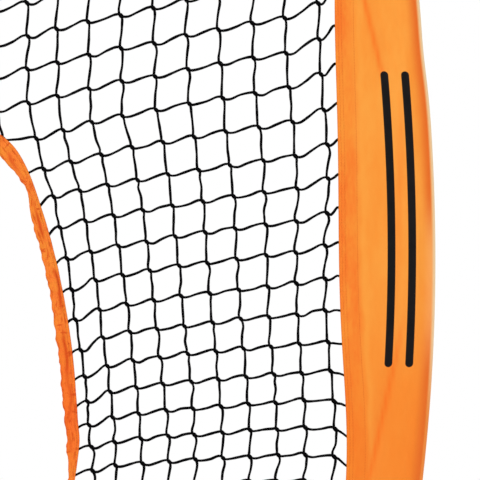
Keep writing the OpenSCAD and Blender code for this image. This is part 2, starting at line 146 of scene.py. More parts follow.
class OpeningSettings(bpy.types.PropertyGroup):
    """The outline of the opening and its tape"""
    half_width: FloatProperty(
        name="Half-width", description="Half-width of the opening over its binding",
        default=568 * MM, unit="LENGTH")
    wide_z: FloatProperty(
        name="Widest level", description="Height at which the opening is widest",
        default=790 * MM, unit="LENGTH")
    top_z: FloatProperty(
        name="Top", description="Height of the middle of the arched top", default=1330 * MM,
        unit="LENGTH")
    top_radius: FloatProperty(
        name="Top radius", description="Radius of the arched top", default=1130 * MM,
        unit="LENGTH")
    rise: FloatProperty(
        name="Rise", description="Rise that the curve of the sides would reach by itself",
        default=812 * MM, unit="LENGTH")
    drop: FloatProperty(
        name="Drop", description="From the widest level to the bottom", default=370 * MM,
        unit="LENGTH")
    corner: FloatProperty(
        name="Corner", description="How sharply the sides turn into the top", default=50)
    binding: FloatProperty(
        name="Binding", description="Width of the fabric tape round the opening",
        default=20 * MM, unit="LENGTH")


class ColorSettings(bpy.types.PropertyGroup):
    """Colours of the fabric, the cords and the base"""
    orange: FloatVectorProperty(
        name="Orange", description="Fabric of the sleeves", subtype="COLOR",
        default=srgb(250, 148, 52))
    # A random tone on the sleeves, and painted as a highlight along the ridge at the sewn band's
    # edge.
    orange_light: FloatVectorProperty(
        name="Light orange", description="Fabric where it is drawn thin", subtype="COLOR",
        default=srgb(252, 164, 66))
    # Painted shade low down on the sleeves; a random tone on the hems.
    orange_deep: FloatVectorProperty(
        name="Deep orange", description="Fabric in two layers and in folds", subtype="COLOR",
        default=srgb(247, 124, 34))
    # Painted highlight on the sleeve cloth over the pole's outer side.
    orange_painted_light: FloatVectorProperty(
        name="Faded orange", description="Fabric stretched over the pole's outer side",
        subtype="COLOR", default=srgb(255, 205, 150))
    binding: FloatVectorProperty(
        name="Binding", description="Tape round the opening", subtype="COLOR",
        default=srgb(253, 134, 52))
    binding_deep: FloatVectorProperty(
        name="Deep binding", description="Tape where it is gathered most", subtype="COLOR",
        default=srgb(251, 104, 34))
    ink: FloatVectorProperty(
        name="Ink", description="Printed stripes on the sleeves", subtype="COLOR",
        default=srgb(7, 6, 6))
    cord: FloatVectorProperty(
        name="Cord", description="Cords of the net", subtype="COLOR", default=srgb(3, 3, 4))
    steel: FloatVectorProperty(
        name="Steel", description="Powder coating of the base", subtype="COLOR",
        default=srgb(34, 35, 38))


class StageSettings(bpy.types.PropertyGroup):
    """The view and the floor"""
    view_x: FloatProperty(
        name="View across", description="Place of the view's middle across the screen",
        default=0.795, unit="LENGTH")
    view_z: FloatProperty(
        name="View height", description="Height of the view's middle", default=1.081,
        unit="LENGTH")
    view_w: FloatProperty(
        name="View width", description="Width of the view at the net", default=0.672,
        unit="LENGTH")
    distance: FloatProperty(
        name="Distance", description="From the camera to the net", default=4.0, unit="LENGTH")
    floor_radius: FloatProperty(
        name="Floor", description="Radius of the floor", default=7.0, unit="LENGTH")


class ScreenSettings(bpy.types.PropertyGroup):
    """Everything about the screen that can be changed"""
    bow: PointerProperty(type=BowSettings)
    net: PointerProperty(type=NetSettings)
    opening: PointerProperty(type=OpeningSettings)
    colors: PointerProperty(type=ColorSettings)
    stage: PointerProperty(type=StageSettings)


def settings():
    """The sizes and colours of the scene's training screen."""
    return bpy.context.scene.training_screen


# ---- shape of the screen ----


def smooth(value, low, high):
    """0 below low, 1 above high and a smooth step between."""
    t = np.clip((value - low) / (high - low), 0, 1)
    return t * t * (3 - 2 * t)


def hump(value, middle, spread):
    """1 at the middle, falling smoothly to 0 on both sides."""
    return np.exp(-((value - middle) / spread) ** 2)


def turnover(value, middle, spread):
    """-1 well below the middle, 1 well above it and a smooth turn between."""
    return math.tanh((value - middle) / spread)


def bow_center_x():
    """Middle of the right bow's circle."""
    return HALF_W - SLEEVE_R - settings().bow.radius


def pole_x(z):
    """The right pole's centre line at height z."""
    return bow_center_x() + np.sqrt(settings().bow.radius ** 2 - (z - MID_Z) ** 2)


def seam_x(z):
    """The right sleeve's inner edge, which the net draws in at the shoulder and lets out below."""
    bow = settings().bow
    share = (1 + np.cos(np.pi * (z - MID_Z) / MID_Z)) / 2
    width = bow.end_width + (bow.mid_width - bow.end_width) * share
    let_out = 11 * MM * hump(z, 0.79, 0.155) - 5.5 * MM * hump(z, 1.4, 0.155)
    return pole_x(z) + SLEEVE_R - width + let_out


def opening_reach(t, inset=0.0):
    """Distance to the outline from the middle of the widest level, t radians from the top."""
    opening = settings().opening
    tall = np.where(np.cos(t) > 0, opening.rise, opening.drop) - inset
    side = 1 / np.hypot(np.sin(t) / (opening.half_width - inset), np.cos(t) / tall)
    below = opening.wide_z + opening.top_radius - opening.top_z
    top = np.sqrt((opening.top_radius - inset) ** 2 - (below * np.sin(t)) ** 2)
    top -= below * np.cos(t)
    bent = side * (1 + (side / top) ** opening.corner) ** (-1 / opening.corner)
    return np.where(np.cos(t) > 0, bent, side)


def in_opening(x, z, inset):
    """Whether points lie inside the outline moved inwards by inset."""
    level = z - settings().opening.wide_z
    return np.hypot(x, level) < opening_reach(np.arctan2(x, level), inset)


def opening_outline(step):
    """Points of the opening's outline about a step apart, the outward normal at each, the
    run to each, and the outline's length."""
    t = np.linspace(0, 2 * np.pi, 3601)
    reach = opening_reach(t)
    x, z = reach * np.sin(t), settings().opening.wide_z + reach * np.cos(t)
    run = run_along(np.column_stack([x, z]))
    length = run[-1]
    count = int(length / step)
    at = np.arange(count) * length / count
    points = np.column_stack([np.interp(at, run, x), np.interp(at, run, z)])
    ahead = unit(np.roll(points, -1, 0) - np.roll(points, 1, 0))
    return points, np.column_stack([-ahead[:, 1], ahead[:, 0]]), at, length


# ---- meshes ----


def linked(name, data):
    """An object for a mesh, a lamp or a camera, in the scene."""
    made = bpy.data.objects.new(name, data)
    bpy.context.scene.collection.objects.link(made)
    return made


def new_piece(name, vertices, faces, material, attributes):
    """A smooth-shaded mesh piece that rides on the screen and carries values at its points."""
    mesh = bpy.data.meshes.new(name)
    mesh.from_pydata([tuple(v) for v in vertices], [], [tuple(f) for f in faces])
    mesh.validate()
    mesh.shade_smooth()
    for title, values in attributes.items():
        layer = mesh.attributes.new(title, "FLOAT", "POINT")
        layer.data.foreach_set("value", np.asarray(values, np.float32).ravel())
    piece = linked(name, mesh)
    mesh.materials.append(material)
    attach(piece, BODY)
    return piece


def unit(rows):
    """Each row of an array as a direction of length 1."""
    return rows / np.linalg.norm(rows, axis=1)[:, None]


def run_along(path):
    """The distance along a path from its first point to each of its points."""
    steps = np.linalg.norm(np.diff(path, axis=0), axis=1)
    return np.concatenate([[0], np.cumsum(steps)])


def grid_faces(rows, columns, start=0, loop_rows=False, loop_columns=False, flip=False):
    """Quads over a grid of points that are numbered row by row."""
    i, j = np.meshgrid(np.arange(rows if loop_rows else rows - 1),
                       np.arange(columns if loop_columns else columns - 1), indexing="ij")
    i, j = i.ravel(), j.ravel()
    i2, j2 = (i + 1) % rows, (j + 1) % columns
    quads = np.column_stack([i * columns + j, i * columns + j2, i2 * columns + j2,
                             i2 * columns + j]) + start
    return quads[:, ::-1] if flip else quads


def shell(outer, inner, loop=False):
    """Cloth with two faces and closed rims. outer and inner are grids of points, ring by ring."""
    rings, points = outer.shape[:2]
    count = rings * points
    faces = [grid_faces(rings, points, 0, loop), grid_faces(rings, points, count, loop, flip=True)]
    ring = np.arange(rings if loop else rings - 1)
    for column, turn in ((0, 1), (points - 1, -1)):
        a, b = ring * points + column, (ring + 1) % rings * points + column
        faces.append(np.column_stack([a, b, b + count, a + count])[:, ::turn])
    if not loop:
        step = np.arange(points - 1)
        for row, turn in ((0, -1), (rings - 1, 1)):
            a = row * points + step
            faces.append(np.column_stack([a, a + 1, a + 1 + count, a + count])[:, ::turn])
    return np.vstack([outer.reshape(-1, 3), inner.reshape(-1, 3)]), np.vstack(faces)


def swept(path, section, wide, deep, loop=False):
    """A section swept along a path. wide and deep are the directions of its two axes at
    each point of the path, and the section may differ from point to point."""
    rings = path[:, None] + section[..., :1] * wide[:, None] + section[..., 1:] * deep[:, None]
    count = rings.shape[1]
    faces = [list(f) for f in grid_faces(len(path), count, 0, loop, True, flip=True)]
    if not loop:
        last = (len(path) - 1) * count
        faces += [list(range(count)), [last + k for k in reversed(range(count))]]
    return rings.reshape(-1, 3), faces


def tube(path, radius, sides, side_axis, loop=False):
    """A round sweep. side_axis is a direction that the path never takes."""
    path = np.asarray(path, float)
    if loop:
        ahead = unit(np.roll(path, -1, 0) - np.roll(path, 1, 0))
    else:
        ahead = unit(np.gradient(path, axis=0))
    across = unit(np.cross(ahead, np.asarray(side_axis, float)))
    turn = np.arange(sides) * 2 * np.pi / sides
    circle = np.column_stack([np.cos(turn), np.sin(turn)])
    radius = np.broadcast_to(radius, (len(path),))[:, None, None]
    return swept(path, radius * circle, across, np.cross(across, ahead), loop)


def joined(parts):
    """Several (vertices, faces) as one."""
    vertices, faces, start = [], [], 0
    for points, quads in parts:
        vertices.append(points)
        faces += [[int(k) + start for k in face] for face in quads]
        start += len(points)
    return np.vstack(vertices), faces


def spline(points, step):
    """A centripetal curve through the points, with samples about a step apart."""
    p = np.asarray(points, float)
    p = np.vstack([2 * p[0] - p[1], p, 2 * p[-1] - p[-2]])
    knots = np.concatenate([[0], np.cumsum(np.sqrt(np.linalg.norm(np.diff(p, axis=0), axis=1)))])
    made = []
    for i in range(1, len(p) - 2):
        a, b, c, d = p[i - 1:i + 3]
        ta, tb, tc, td = knots[i - 1:i + 3]
        count = max(2, math.ceil(np.linalg.norm(c - b) / step))
        t = np.linspace(tb, tc, count, endpoint=False)[:, None]
        ab = a + (b - a) * (t - ta) / (tb - ta)
        bc = b + (c - b) * (t - tb) / (tc - tb)
        cd = c + (d - c) * (t - tc) / (td - tc)
        left = ab + (bc - ab) * (t - ta) / (tc - ta)
        right = bc + (cd - bc) * (t - tb) / (td - tb)
        made.append(left + (right - left) * (t - tb) / (tc - tb))
    made.append(p[-2][None])
    return np.vstack(made)


def runs(keep):
    """The stretches of true values in a list, as (first, one past the last)."""
    edges = np.flatnonzero(np.diff(np.concatenate([[0], keep.astype(int), [0]])))
    return list(zip(edges[::2], edges[1::2]))


# ---- net ----

PULLED_ROW_Z = 1.0627       # a level cord from which the others are counted
ROWS_PAST = 80 * MM         # how far beyond the screen's ends the level cords are counted
EDGE_COLUMN = 19            # from here the droop is measured
OPENING_COLUMN = 11         # the last column that the opening cuts
FLAT_MESH = 44.5 * MM       # a mesh before the net is hung
SEWN_IN = 9 * MM            # how far a cord runs into the tape or into a sleeve
HEMMED_IN = 12 * MM         # how far it runs into a hem
HEM_CLEAR = 14 * MM         # a level cord nearer to a hem's edge gives way to the hem
CORD_SIDES = 7
JOINT_SEED, CORD_SEED = 7, 11
OPENING_PULLS = (
    # fall, its middle level, its spread, and over how many columns it dies away
    (14.6 * MM, 0.948, 0.147, 0.7),
    (6.5 * MM, 1.275, 0.045, 1.2),
)


def mesh_height(z):
    """Meshes are drawn tall above and closed up below."""
    net = settings().net
    return net.mesh_low + net.mesh_gain * turnover(min(max(z, 0.72), 1.42), 0.982, 0.352)


def row_levels():
    """Heights at which the level cords cross column EDGE_COLUMN."""
    above, below = [PULLED_ROW_Z], []
    while above[-1] < SCREEN_TOP + ROWS_PAST:
        above.append(above[-1] + mesh_height(above[-1]))
    z = PULLED_ROW_Z
    while z > HEM_LOW - ROWS_PAST:
        z -= mesh_height(z)
        below.append(z)
    return below[::-1] + above


def joint_level(column, row_z):
    """Height of a joint. The level cords droop from the sleeves towards the middle, more so
    where the net hangs free of its hems, and are drawn down beside the opening."""
    net = settings().net
    hang = smooth(row_z, 0.3, 0.7) * (1 - smooth(row_z, 1.45, NET_TOP))
    fall = net.droop + net.droop_gain * turnover(row_z, 1.104, 0.606)
    n = EDGE_COLUMN - column
    if n >= 0:
        near = min(n, 9.5) + 4 * math.tanh(max(n - 9.5, 0) / 4)
        z = row_z - hang * (fall * near + 0.13 * MM * near ** 2)
    else:
        z = row_z - n * hang * (fall + 14.7 * MM * turnover(row_z, 0.923, 0.391))
    past = max(column - OPENING_COLUMN, 0)
    for drawn, middle, spread, fade in OPENING_PULLS:
        z -= drawn * hump(row_z, middle, spread) * math.exp(-past / fade)
    beside = (0.35 + 0.65 * smooth(row_z, 0.8, 0.93)) * (1 - smooth(row_z, 1.17, 1.26))
    beside *= smooth(row_z, 0.45, 0.6)
    inside = max(OPENING_COLUMN - column, 0)
    return z - inside * (24 * MM * beside - 9 * MM * hump(row_z, 1.29, 0.03))


def joint_reach(column, z):
    """A joint's distance from the middle. The opening crowds the upright cords outwards,
    the more the nearer they are to it."""
    net = settings().net
    edge = net.columns + 0.5
    past = max(column - OPENING_COLUMN, 0)
    share = past / (edge - OPENING_COLUMN)
    crowd = math.sin(math.pi / 2 * min(max((1.248 - z) / 0.648, 0), 1)) ** 0.66
    crowd *= net.crowding * smooth(z, 0.4, 0.62)
    x = seam_x(z) * column / edge + crowd * (1 - share if past else column / OPENING_COLUMN)
    x -= 4.9 * MM * math.sin(math.pi * math.sqrt(share))
    x += 14 * MM * share ** 3 * hump(z, SHOULDER_Z, 0.116)
    x -= 6 * MM * hump(z, SHOULDER_Z, 0.035) * math.exp(-past / 1.5)
    by_sleeve = math.exp((column - net.columns) / 0.4)
    return x + 4 * MM * by_sleeve * (hump(z, 0.82, 0.08) - hump(z, SHOULDER_Z, 0.1))


def joint_place(column, row_z):
    """Where a level cord meets an upright one or, past the last of them, the sleeve. Its
    stub into the sleeve climbs in the upper part of the net and falls in the lower."""
    side, column, last = math.copysign(1, column), abs(column), settings().net.columns
    z = joint_level(min(column, last), row_z)
    if column <= last:
        return side * joint_reach(column, z), z
    z += min(max(0.06 * (z - 0.985), -25 * MM), 7 * MM)
    z += 12 * MM * smooth(z, 1.2, 1.38)
    return side * seam_x(z), z


def net_joints():
    """Places of all joints by column and row, with the number of columns and of rows."""
    rng = random.Random(JOINT_SEED)
    last = settings().net.columns
    columns = [-last - 0.5, *range(-last, last + 1), last + 0.5]
    levels = row_levels()
    places = {}
    for i, column in enumerate(columns):
        for k, level in enumerate(levels):
            x, z = joint_place(column, level)
            places[i, k] = (x + rng.gauss(0, 0.5) * MM, z + rng.gauss(0, 0.6) * MM)
    return places, len(columns), len(levels)


def cord_run(start, end, level, rng):
    """Points between two joints. The cord sets off and arrives square to the mesh, which
    makes it S-shaped, and sags a little at random. Beside the opening the closed meshes
    leave the upright cords slack, and they buckle."""
    run = end - start
    length = np.linalg.norm(run)
    beside = math.exp(-abs(abs(start[0]) - settings().opening.half_width) / (32 * MM))
    beside *= 1 - smooth(start[2], 0.8, 0.88)
    slack = 0.42 * beside * math.sqrt(max(FLAT_MESH - length, 0) * length)
    slack *= 0 if level else rng.choice((-1, 1)) * rng.uniform(0.4, 1)
    ease = np.array((0, 0, 1)) if level else np.array((1, 0, 0))
    lean, belly = (0.09, 0.6 * MM) if level else (0.13, -0.4 * MM)
    points = []
    for share, turn in ((0.17, 1), (0.5, 0), (0.83, -1)):
        shift = rng.gauss(0, 0.55) * MM + slack * (1 - 0.45 * abs(turn))
        shift -= turn * (lean * run @ ease + belly)
        points.append(start + run * share + ease * shift)
    return points


def cord_path(places, keys, level, rng):
    """One cord through its joints: into each at its upper left, out at its lower right."""
    net = settings().net
    step, depth = (1, -0.9 * MM) if level else (-1, 0.9 * MM)
    aside = step * 0.8 * MM
    half = np.array((net.joint_half_w, 0, -net.joint_half_h))
    points = []
    for key in keys:
        x, z = places[key]
        middle = np.array((x + aside, depth, z + aside))
        sewn = abs(x) > seam_x(z) - 3 * MM
        through = [middle] if sewn else [middle - half, middle, middle + half]
        if points:
            points += cord_run(points[-1], through[0], level, rng)
        points += through
    return spline(points, 4 * MM)


def cut_cord(path):
    """The stretches of a cord outside the opening and between the hems and the sleeves."""
    x, z = path[:, 0], path[:, 2]
    keep = ~in_opening(x, z, SEWN_IN) & (np.abs(x) < seam_x(z) + SEWN_IN)
    keep &= (z > NET_LOW - HEMMED_IN) & (z < NET_TOP + HEMMED_IN)
    return [path[a:b] for a, b in runs(keep) if b - a > 3]


def cord_parts(path, rng):
    """Tubes for the kept stretches of one cord, slightly uneven as a flat braid is."""
    radius = settings().net.cord / 2
    parts, along = [], []
    for stretch in cut_cord(path):
        run = run_along(stretch)
        uneven = 1 + 0.1 * np.sin(run / (7 * MM) + rng.uniform(0, 6)) + 0.03 * np.array(
            [rng.gauss(0, 1) for _ in run])
        parts.append(tube(stretch, radius * uneven, CORD_SIDES, (0, 1, 0)))
        along.append(np.repeat(run, CORD_SIDES))
    return parts, along


class SCREEN_OT_net(bpy.types.Operator):
    """Build the knotless net, cord by cord"""
    bl_idname = "screen.net"
    bl_label = "Net"

    def execute(self, context):
        places, columns, rows = net_joints()
        rng = random.Random(CORD_SEED)
        groups = {"net_uprights_left": [], "net_uprights_right": [],
                  "net_level_lower": [], "net_level_upper": []}
        for i in range(1, columns - 1):
            side = "left" if i < columns // 2 else "right"
            path = cord_path(places, [(i, k) for k in reversed(range(rows))], False, rng)
            groups["net_uprights_" + side].append(cord_parts(path, rng))
        for k in range(rows):
            row_z = places[1, k][1]
            if min(abs(row_z - hem) for hem in (NET_LOW, NET_TOP)) < HEM_CLEAR:
                continue
            part = "lower" if row_z < settings().opening.wide_z + 0.2 else "upper"
            path = cord_path(places, [(i, k) for i in range(columns)], True, rng)
            groups["net_level_" + part].append(cord_parts(path, rng))
        material = net_cord_material()
        for name, cords in groups.items():
            vertices, faces = joined([part for parts, _ in cords for part in parts])
            along = np.concatenate([a for _, stretches in cords for a in stretches])
            piece = new_piece(name, vertices, faces, material, {"along": along})
            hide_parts("net")
        return {"FINISHED"}


# ---- fabric ----


def cloth_noise(x, y, z, size):
    """Smooth noise from -1 to 1, with features of about a size."""
    return noise.noise(Vector((x / size, y / size, z / size)))


SLEEVE_FOLDS = (
    # x and z of the upper end, x and z of the lower end, width, height in millimetres
    (0.9582, 1.46, 0.9970, 1.30, 0.010, 4.0),
    (1.0160, 0.93, 0.9697, 0.72, 0.011, -4.0),
    (0.9800, 1.76, 0.9500, 1.56, 0.012, 3.4),
    (0.9400, 1.99, 0.9650, 1.86, 0.008, -2.4),
    (0.9700, 0.64, 0.9350, 0.50, 0.010, 3.4),
    (0.9400, 0.45, 0.9150, 0.30, 0.008, -2.8),
    (1.0200, 1.25, 1.0150, 1.02, 0.012, 1.6),
)
FLAT_SHARES = np.concatenate([      # places across a sleeve's flat part, from seam to pole
    [0, 0.02, 0.05, 0.09, 0.13], np.linspace(0.18, 0.86, 17), [0.9, 0.94, 0.97, 1]])
POLE_ANGLES = np.radians(np.arange(-75, 76, 15))
SLEEVE_RINGS = 300
READINGS = ("from_seam", "from_edge", "crease", "front", "along")


def fold_height(x, z):
    """Soft folds that cross the flat part of a sleeve: metres towards the front, and how
    much painted shade lies in the crease, from 0 to 1."""
    total, crease_shade = 0.0, 0.0
    for x_high, z_high, x_low, z_low, width, height in SLEEVE_FOLDS:
        t = (z_high - z) / (z_high - z_low)
        if -0.4 < t < 1.4:
            middle = x_high + (x_low - x_high) * t
            ends = smooth(t, -0.4, 0.25) * (1 - smooth(t, 0.75, 1.4))
            total += height * MM * ends * hump(x, middle, width)
            crease_shade += abs(height) / 4 * ends * hump(x, middle, 0.36 * width)
    return total, min(crease_shade, 1.0)


def sleeve_shift(z):
    """How far the loose cloth lies off the pole's centre line, outwards."""
    return 2.2 * MM * hump(z, 0.95, 0.3) - 2.4 * MM * hump(z, 1.345, 0.055)


def sleeve_ring(z, side):
    """One ring of a sleeve, from the seam along the front, round the pole and back along
    the rear: its points on the outer and on the inner face, and the readings at each."""
    tube_r = SLEEVE_R - CLOTH_INSET
    layers = (0, settings().bow.cloth)
    center, seam = pole_x(z) + sleeve_shift(z), seam_x(z)
    out_x = (center - bow_center_x()) / settings().bow.radius
    out_z = (z - MID_Z) / settings().bow.radius
    reach = center - seam
    points, readings = [], []
    for front in (-1, 1):
        for share in FLAT_SHARES[::-front]:
            from_seam, gap = reach * share, reach * (1 - share)
            x = seam + from_seam
            hem = 1 - smooth(from_seam, 8 * MM, 24 * MM)
            half = (1.7 + 1.1 * hem) * MM
            half += (tube_r - half) * (1 - smooth(gap, 0, 21 * MM))
            free = smooth(from_seam, 2 * MM, 30 * MM) * smooth(gap, 8 * MM, 30 * MM)
            wave, crease_shade = (value * free for value in fold_height(x, z))
            wave += 0.9 * MM * free * cloth_noise(x * 3, front + side * 5, z * 1.3, 0.1)
            gather = math.exp(-from_seam / (14 * MM)) * smooth(gap, 5 * MM, 20 * MM)
            wave += 0.5 * MM * gather * cloth_noise(x, front + side * 5, z * 6, 0.09)
            points.append([(side * x, front * max(half - thin, 0.25 * MM) - wave, z)
                           for thin in layers])
            readings.append((from_seam, gap + tube_r * math.pi / 2, crease_shade, front < 0, z))
        for angle in POLE_ANGLES if front < 0 else ():
            radii = [tube_r - thin for thin in layers]
            points.append([(side * (center + out_x * r * math.cos(angle)), r * math.sin(angle),
                            z + out_z * r * math.cos(angle)) for r in radii])
            readings.append((reach + tube_r * (math.pi / 2 - abs(angle)), tube_r * abs(angle),
                             0, angle < 0, z))
    return points, readings


def sleeve_grids(side):
    """Outer and inner faces of a sleeve, ring by ring from its lower end, and its readings."""
    rings = [sleeve_ring(z, side) for z in np.linspace(SLEEVE_LOW, SLEEVE_HIGH, SLEEVE_RINGS)]
    outer, inner = np.moveaxis(np.array([points for points, _ in rings]), 2, 0)
    values = np.moveaxis(np.array([readings for _, readings in rings], float), 2, 0)
    return outer, inner, dict(zip(READINGS, values))


def sleeve_cut():
    """Width and length of the cloth that one sleeve is cut from, and its area."""
    heights = np.linspace(SLEEVE_LOW, SLEEVE_HIGH, 200)
    wide = 2 * (pole_x(heights) - seam_x(heights)) + math.pi * SLEEVE_R
    length = 2 * settings().bow.radius * math.asin(
        (SLEEVE_HIGH - SLEEVE_LOW) / 2 / settings().bow.radius)
    return (float(wide.max()), length), float(wide.mean()) * length


class SCREEN_OT_sleeves(bpy.types.Operator):
    """Build the doubled fabric sleeves round the bowed poles"""
    bl_idname = "screen.sleeves"
    bl_label = "Sleeves"

    def execute(self, context):
        material = sleeve_material()
        flat, area = sleeve_cut()
        for name, side in SIDES:
            outer, inner, readings = sleeve_grids(side)
            vertices, faces = shell(outer, inner)
            if side > 0:
                faces = faces[:, ::-1]
            piece = new_piece("sleeve_cloth_" + name, vertices, faces, material,
                              {key: np.stack([row, row]) for key, row in readings.items()})
            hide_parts("sleeve_" + name)
        return {"FINISHED"}


def folded_section(width, half, thin, straight):
    """A tape folded double, open at 0 and folded at -width: (across, depth) pairs."""
    r = half - thin
    flat = np.linspace(0, -(width - half), straight)
    turn = np.linspace(-np.pi / 2, np.pi / 2, 7)[1:-1]
    front = [(n, -r) for n in flat]
    fold = [(-(width - half) - r * math.cos(a), r * math.sin(a)) for a in turn]
    back = [(n, r) for n in flat[::-1]]
    return np.array(front + fold + back)


def binding_fullness(x, z):
    """How wide the gathered tape lies at a place, as a share of its full width."""
    drawn = 0.08 + 0.32 * hump(z, 1.152, 0.022) + 0.45 * hump(z, 0.742, 0.035)
    drawn -= 0.24 * smooth(z, 1.175, 1.21) + 0.08 * hump(z, 0.885, 0.07)
    return 1 - drawn + 0.1 * noise.noise(Vector((x * 9, 0, z * 9)))


def tape_ring(section, width, place, normal, around):
    """One ring of the gathered tape, and how deep its crease is at each point. around is
    the ring's place on a circle, so that the noise closes where the tape does."""
    x, z = place
    full = binding_fullness(x, z)
    bulge = 2.4 * MM * hump(z, 0.802, 0.022)
    pleat = math.tanh(2.5 * noise.noise(around / 0.011))
    swing = noise.noise(around / 0.05 + Vector((3, 0, 0)))
    drift = noise.noise(around / 0.045 + Vector((0, 7, 0)))
    creased = smooth(noise.noise(around / 0.06 + Vector((0, 0, 9))), -0.2, 0.25)
    ring, creases = [], []
    for n, y in section:
        deep = -n / width
        crease = creased * hump(deep, 0.5 + 0.6 * drift, 0.12)
        slant = around + Vector((0, 0, n * 0.3))
        pinch = noise.noise(slant / 0.006 + Vector((0, 0, math.copysign(9, y))))
        roll = noise.noise(slant / 0.028)
        out = n * full + (0.9 * pinch + 1.2 * swing + 1.1 * pleat) * MM * deep
        out += bulge + 0.5 * roll * MM
        ring.append((x + normal[0] * out, y * (1 + 0.1 * pinch + 0.14 * roll - 0.2 * crease),
                     z + normal[1] * out))
        creases.append(crease)
    return ring, creases


class SCREEN_OT_binding(bpy.types.Operator):
    """Build the gathered tape round the opening"""
    bl_idname = "screen.binding"
    bl_label = "Binding"

    def execute(self, context):
        width, half, thin = settings().opening.binding, 3.8 * MM, 0.8 * MM
        points, normals, run, length = opening_outline(2.6 * MM)
        ring_r = length / (2 * math.pi)
        circle = [Vector((math.cos(s / ring_r), math.sin(s / ring_r), 0)) * ring_r for s in run]
        grids, across, creases = [], [], []
        for layer in (0, thin):
            section = folded_section(width, half, layer, 14)
            rings = [tape_ring(section, width, *ring) for ring in zip(points, normals, circle)]
            grids.append(np.array([ring for ring, _ in rings]))
            creases.append([crease for _, crease in rings])
            across.append(np.tile(-section[:, 0], (len(points), 1)))
        vertices, faces = shell(*grids, loop=True)
        along = np.repeat(run[:, None], len(section), 1)
        piece = new_piece("opening_tape", vertices, faces, binding_material(),
                          {"from_seam": across, "along": [along, along], "crease": creases})
        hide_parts("opening_binding")
        return {"FINISHED"}


def hem_ring(place, ease, sag, section, edge_z):
    """One ring of a hem. The cloth rolls and pinches a little, but not at its sewn ends."""
    ring = []
    for n, y in section:
        z = edge_z(n)
        x = place * (seam_x(z) + 5 * MM)
        roll = cloth_noise(x, math.copysign(2, y), z, 0.05)
        pinch = cloth_noise(x * 2, math.copysign(4, y), z * 0.6, 0.03)
        ring.append((x, y * (1 + ease * (0.14 * roll + 0.08 * pinch)),
                     z - sag + 0.6 * MM * roll * ease))
    return ring


def hem_grid(low, high, half, thin, fold_up):
    """Outer and inner faces of a hem that runs from sleeve to sleeve."""
    grids = []
    for layer in (0, thin):
        section = folded_section(high - low, half, layer, 7)
        grids.append(np.array([
            hem_ring(place, min(1.0, (1 - abs(place)) * 20), 5 * MM * (1 - place * place),
                     section, lambda n: low - n if fold_up else high + n)
            for place in np.linspace(-1, 1, 321)]))
    return grids


class SCREEN_OT_hems(bpy.types.Operator):
    """Build the folded hems along the net's top and bottom"""
    bl_idname = "screen.hems"
    bl_label = "Hems"

    def execute(self, context):
        material = hem_material()
        half, thin = 2.6 * MM, 0.8 * MM
        spans = {"top_hem": (NET_TOP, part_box("top_hem")[1].z, True),
                 "bottom_hem": (HEM_LOW, NET_LOW, False)}
        for node, (low, high, fold_up) in spans.items():
            outer, inner = hem_grid(low, high, half, thin, fold_up)
            vertices, faces = shell(outer, inner)
            if fold_up:
                faces = faces[:, ::-1]
            across = np.tile(-folded_section(high - low, half, 0, 7)[:, 0], (len(outer), 1))
            piece = new_piece(node + "_cloth", vertices, faces, material,
                              {"from_seam": [across, across],
                               "along": [outer[..., 0], outer[..., 0]]})
            if node == "bottom_hem":
                cut_eyelets(piece)
            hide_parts(node)
            span = 2 * float(seam_x((low + high) / 2))
        return {"FINISHED"}


def eyelet_places():
    """Middles of the eyelets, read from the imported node."""
    points = np.array([v.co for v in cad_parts["hem_grommets"].data.vertices])
    order = np.sort(points[:, 0])
    gaps = np.flatnonzero(np.diff(order) > 50 * MM)
    z = (points[:, 2].min() + points[:, 2].max()) / 2
    return [((group[0] + group[-1]) / 2, z) for group in np.split(order, gaps + 1)]


def cut_eyelets(piece):
    """Cut round holes for the eyelets through a hem."""
    vertices, faces = joined([
        tube([(x, y, z) for y in (-0.01, -0.003, 0.003, 0.01)], 6.2 * MM, 24, (0, 0, 1))
        for x, z in eyelet_places()])
    mesh = bpy.data.meshes.new("eyelet_cutter")
    mesh.from_pydata([tuple(v) for v in vertices], [], faces)
    cutter = linked("eyelet_cutter", mesh)
    cut = piece.modifiers.new("eyelets", "BOOLEAN")
    cut.operation, cut.solver, cut.object = "DIFFERENCE", "EXACT", cutter
    bpy.context.view_layer.update()
    made = bpy.data.meshes.new_from_object(piece.evaluated_get(
        bpy.context.evaluated_depsgraph_get()))
    piece.modifiers.clear()
    piece.data = made
    bpy.data.objects.remove(cutter)


# ---- straps, pockets and loops ----


def strap_path(side):
    """Centre line of a corner strap: down the front, round the base tube and up the rear."""
    ring_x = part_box("corner_strap_right")[0].x + 10 * MM
    top_x, top_z = float(seam_x(SLEEVE_LOW)) + 18 * MM, SLEEVE_LOW + 16 * MM
    r = TUBE_R + 1.3 * MM
    ring = [(ring_x, -r * math.cos(a), TUBE_Z - r * math.sin(a))
            for a in np.radians(np.linspace(-20, 200, 23))]
    front = [(top_x, -3.6 * MM, top_z), (top_x - 4 * MM, -3.6 * MM, SLEEVE_LOW - 2 * MM),
             ((top_x + ring_x) / 2, -7 * MM, (SLEEVE_LOW + TUBE_Z) / 2 + 10 * MM)]
    rear = [(x, -y, z) for x, y, z in front[::-1]]
    return spline(front + ring + rear, 4 * MM) * np.array([side, 1, 1])


def band(path, width, thick, across):
    """A flat strap with rounded edges swept along a path, and its readings. across is its
    width's direction."""
    ahead = unit(np.gradient(path, axis=0))
    across = np.asarray(across, float)
    wide = unit(across - ahead * (ahead @ across)[:, None])
    edge = (width - thick) / 2
    under = [(n, -thick / 2) for n in np.linspace(-edge, edge, 9)] + [(width / 2, 0)]
    section = np.array(under + [(-n, -y) for n, y in under])
    vertices, faces = swept(path, section, wide, np.cross(ahead, wide))
    return vertices, [face[::-1] for face in faces], {
        "along": np.repeat(run_along(path), len(section)),
        "across": np.tile(section[:, 0], len(path))}


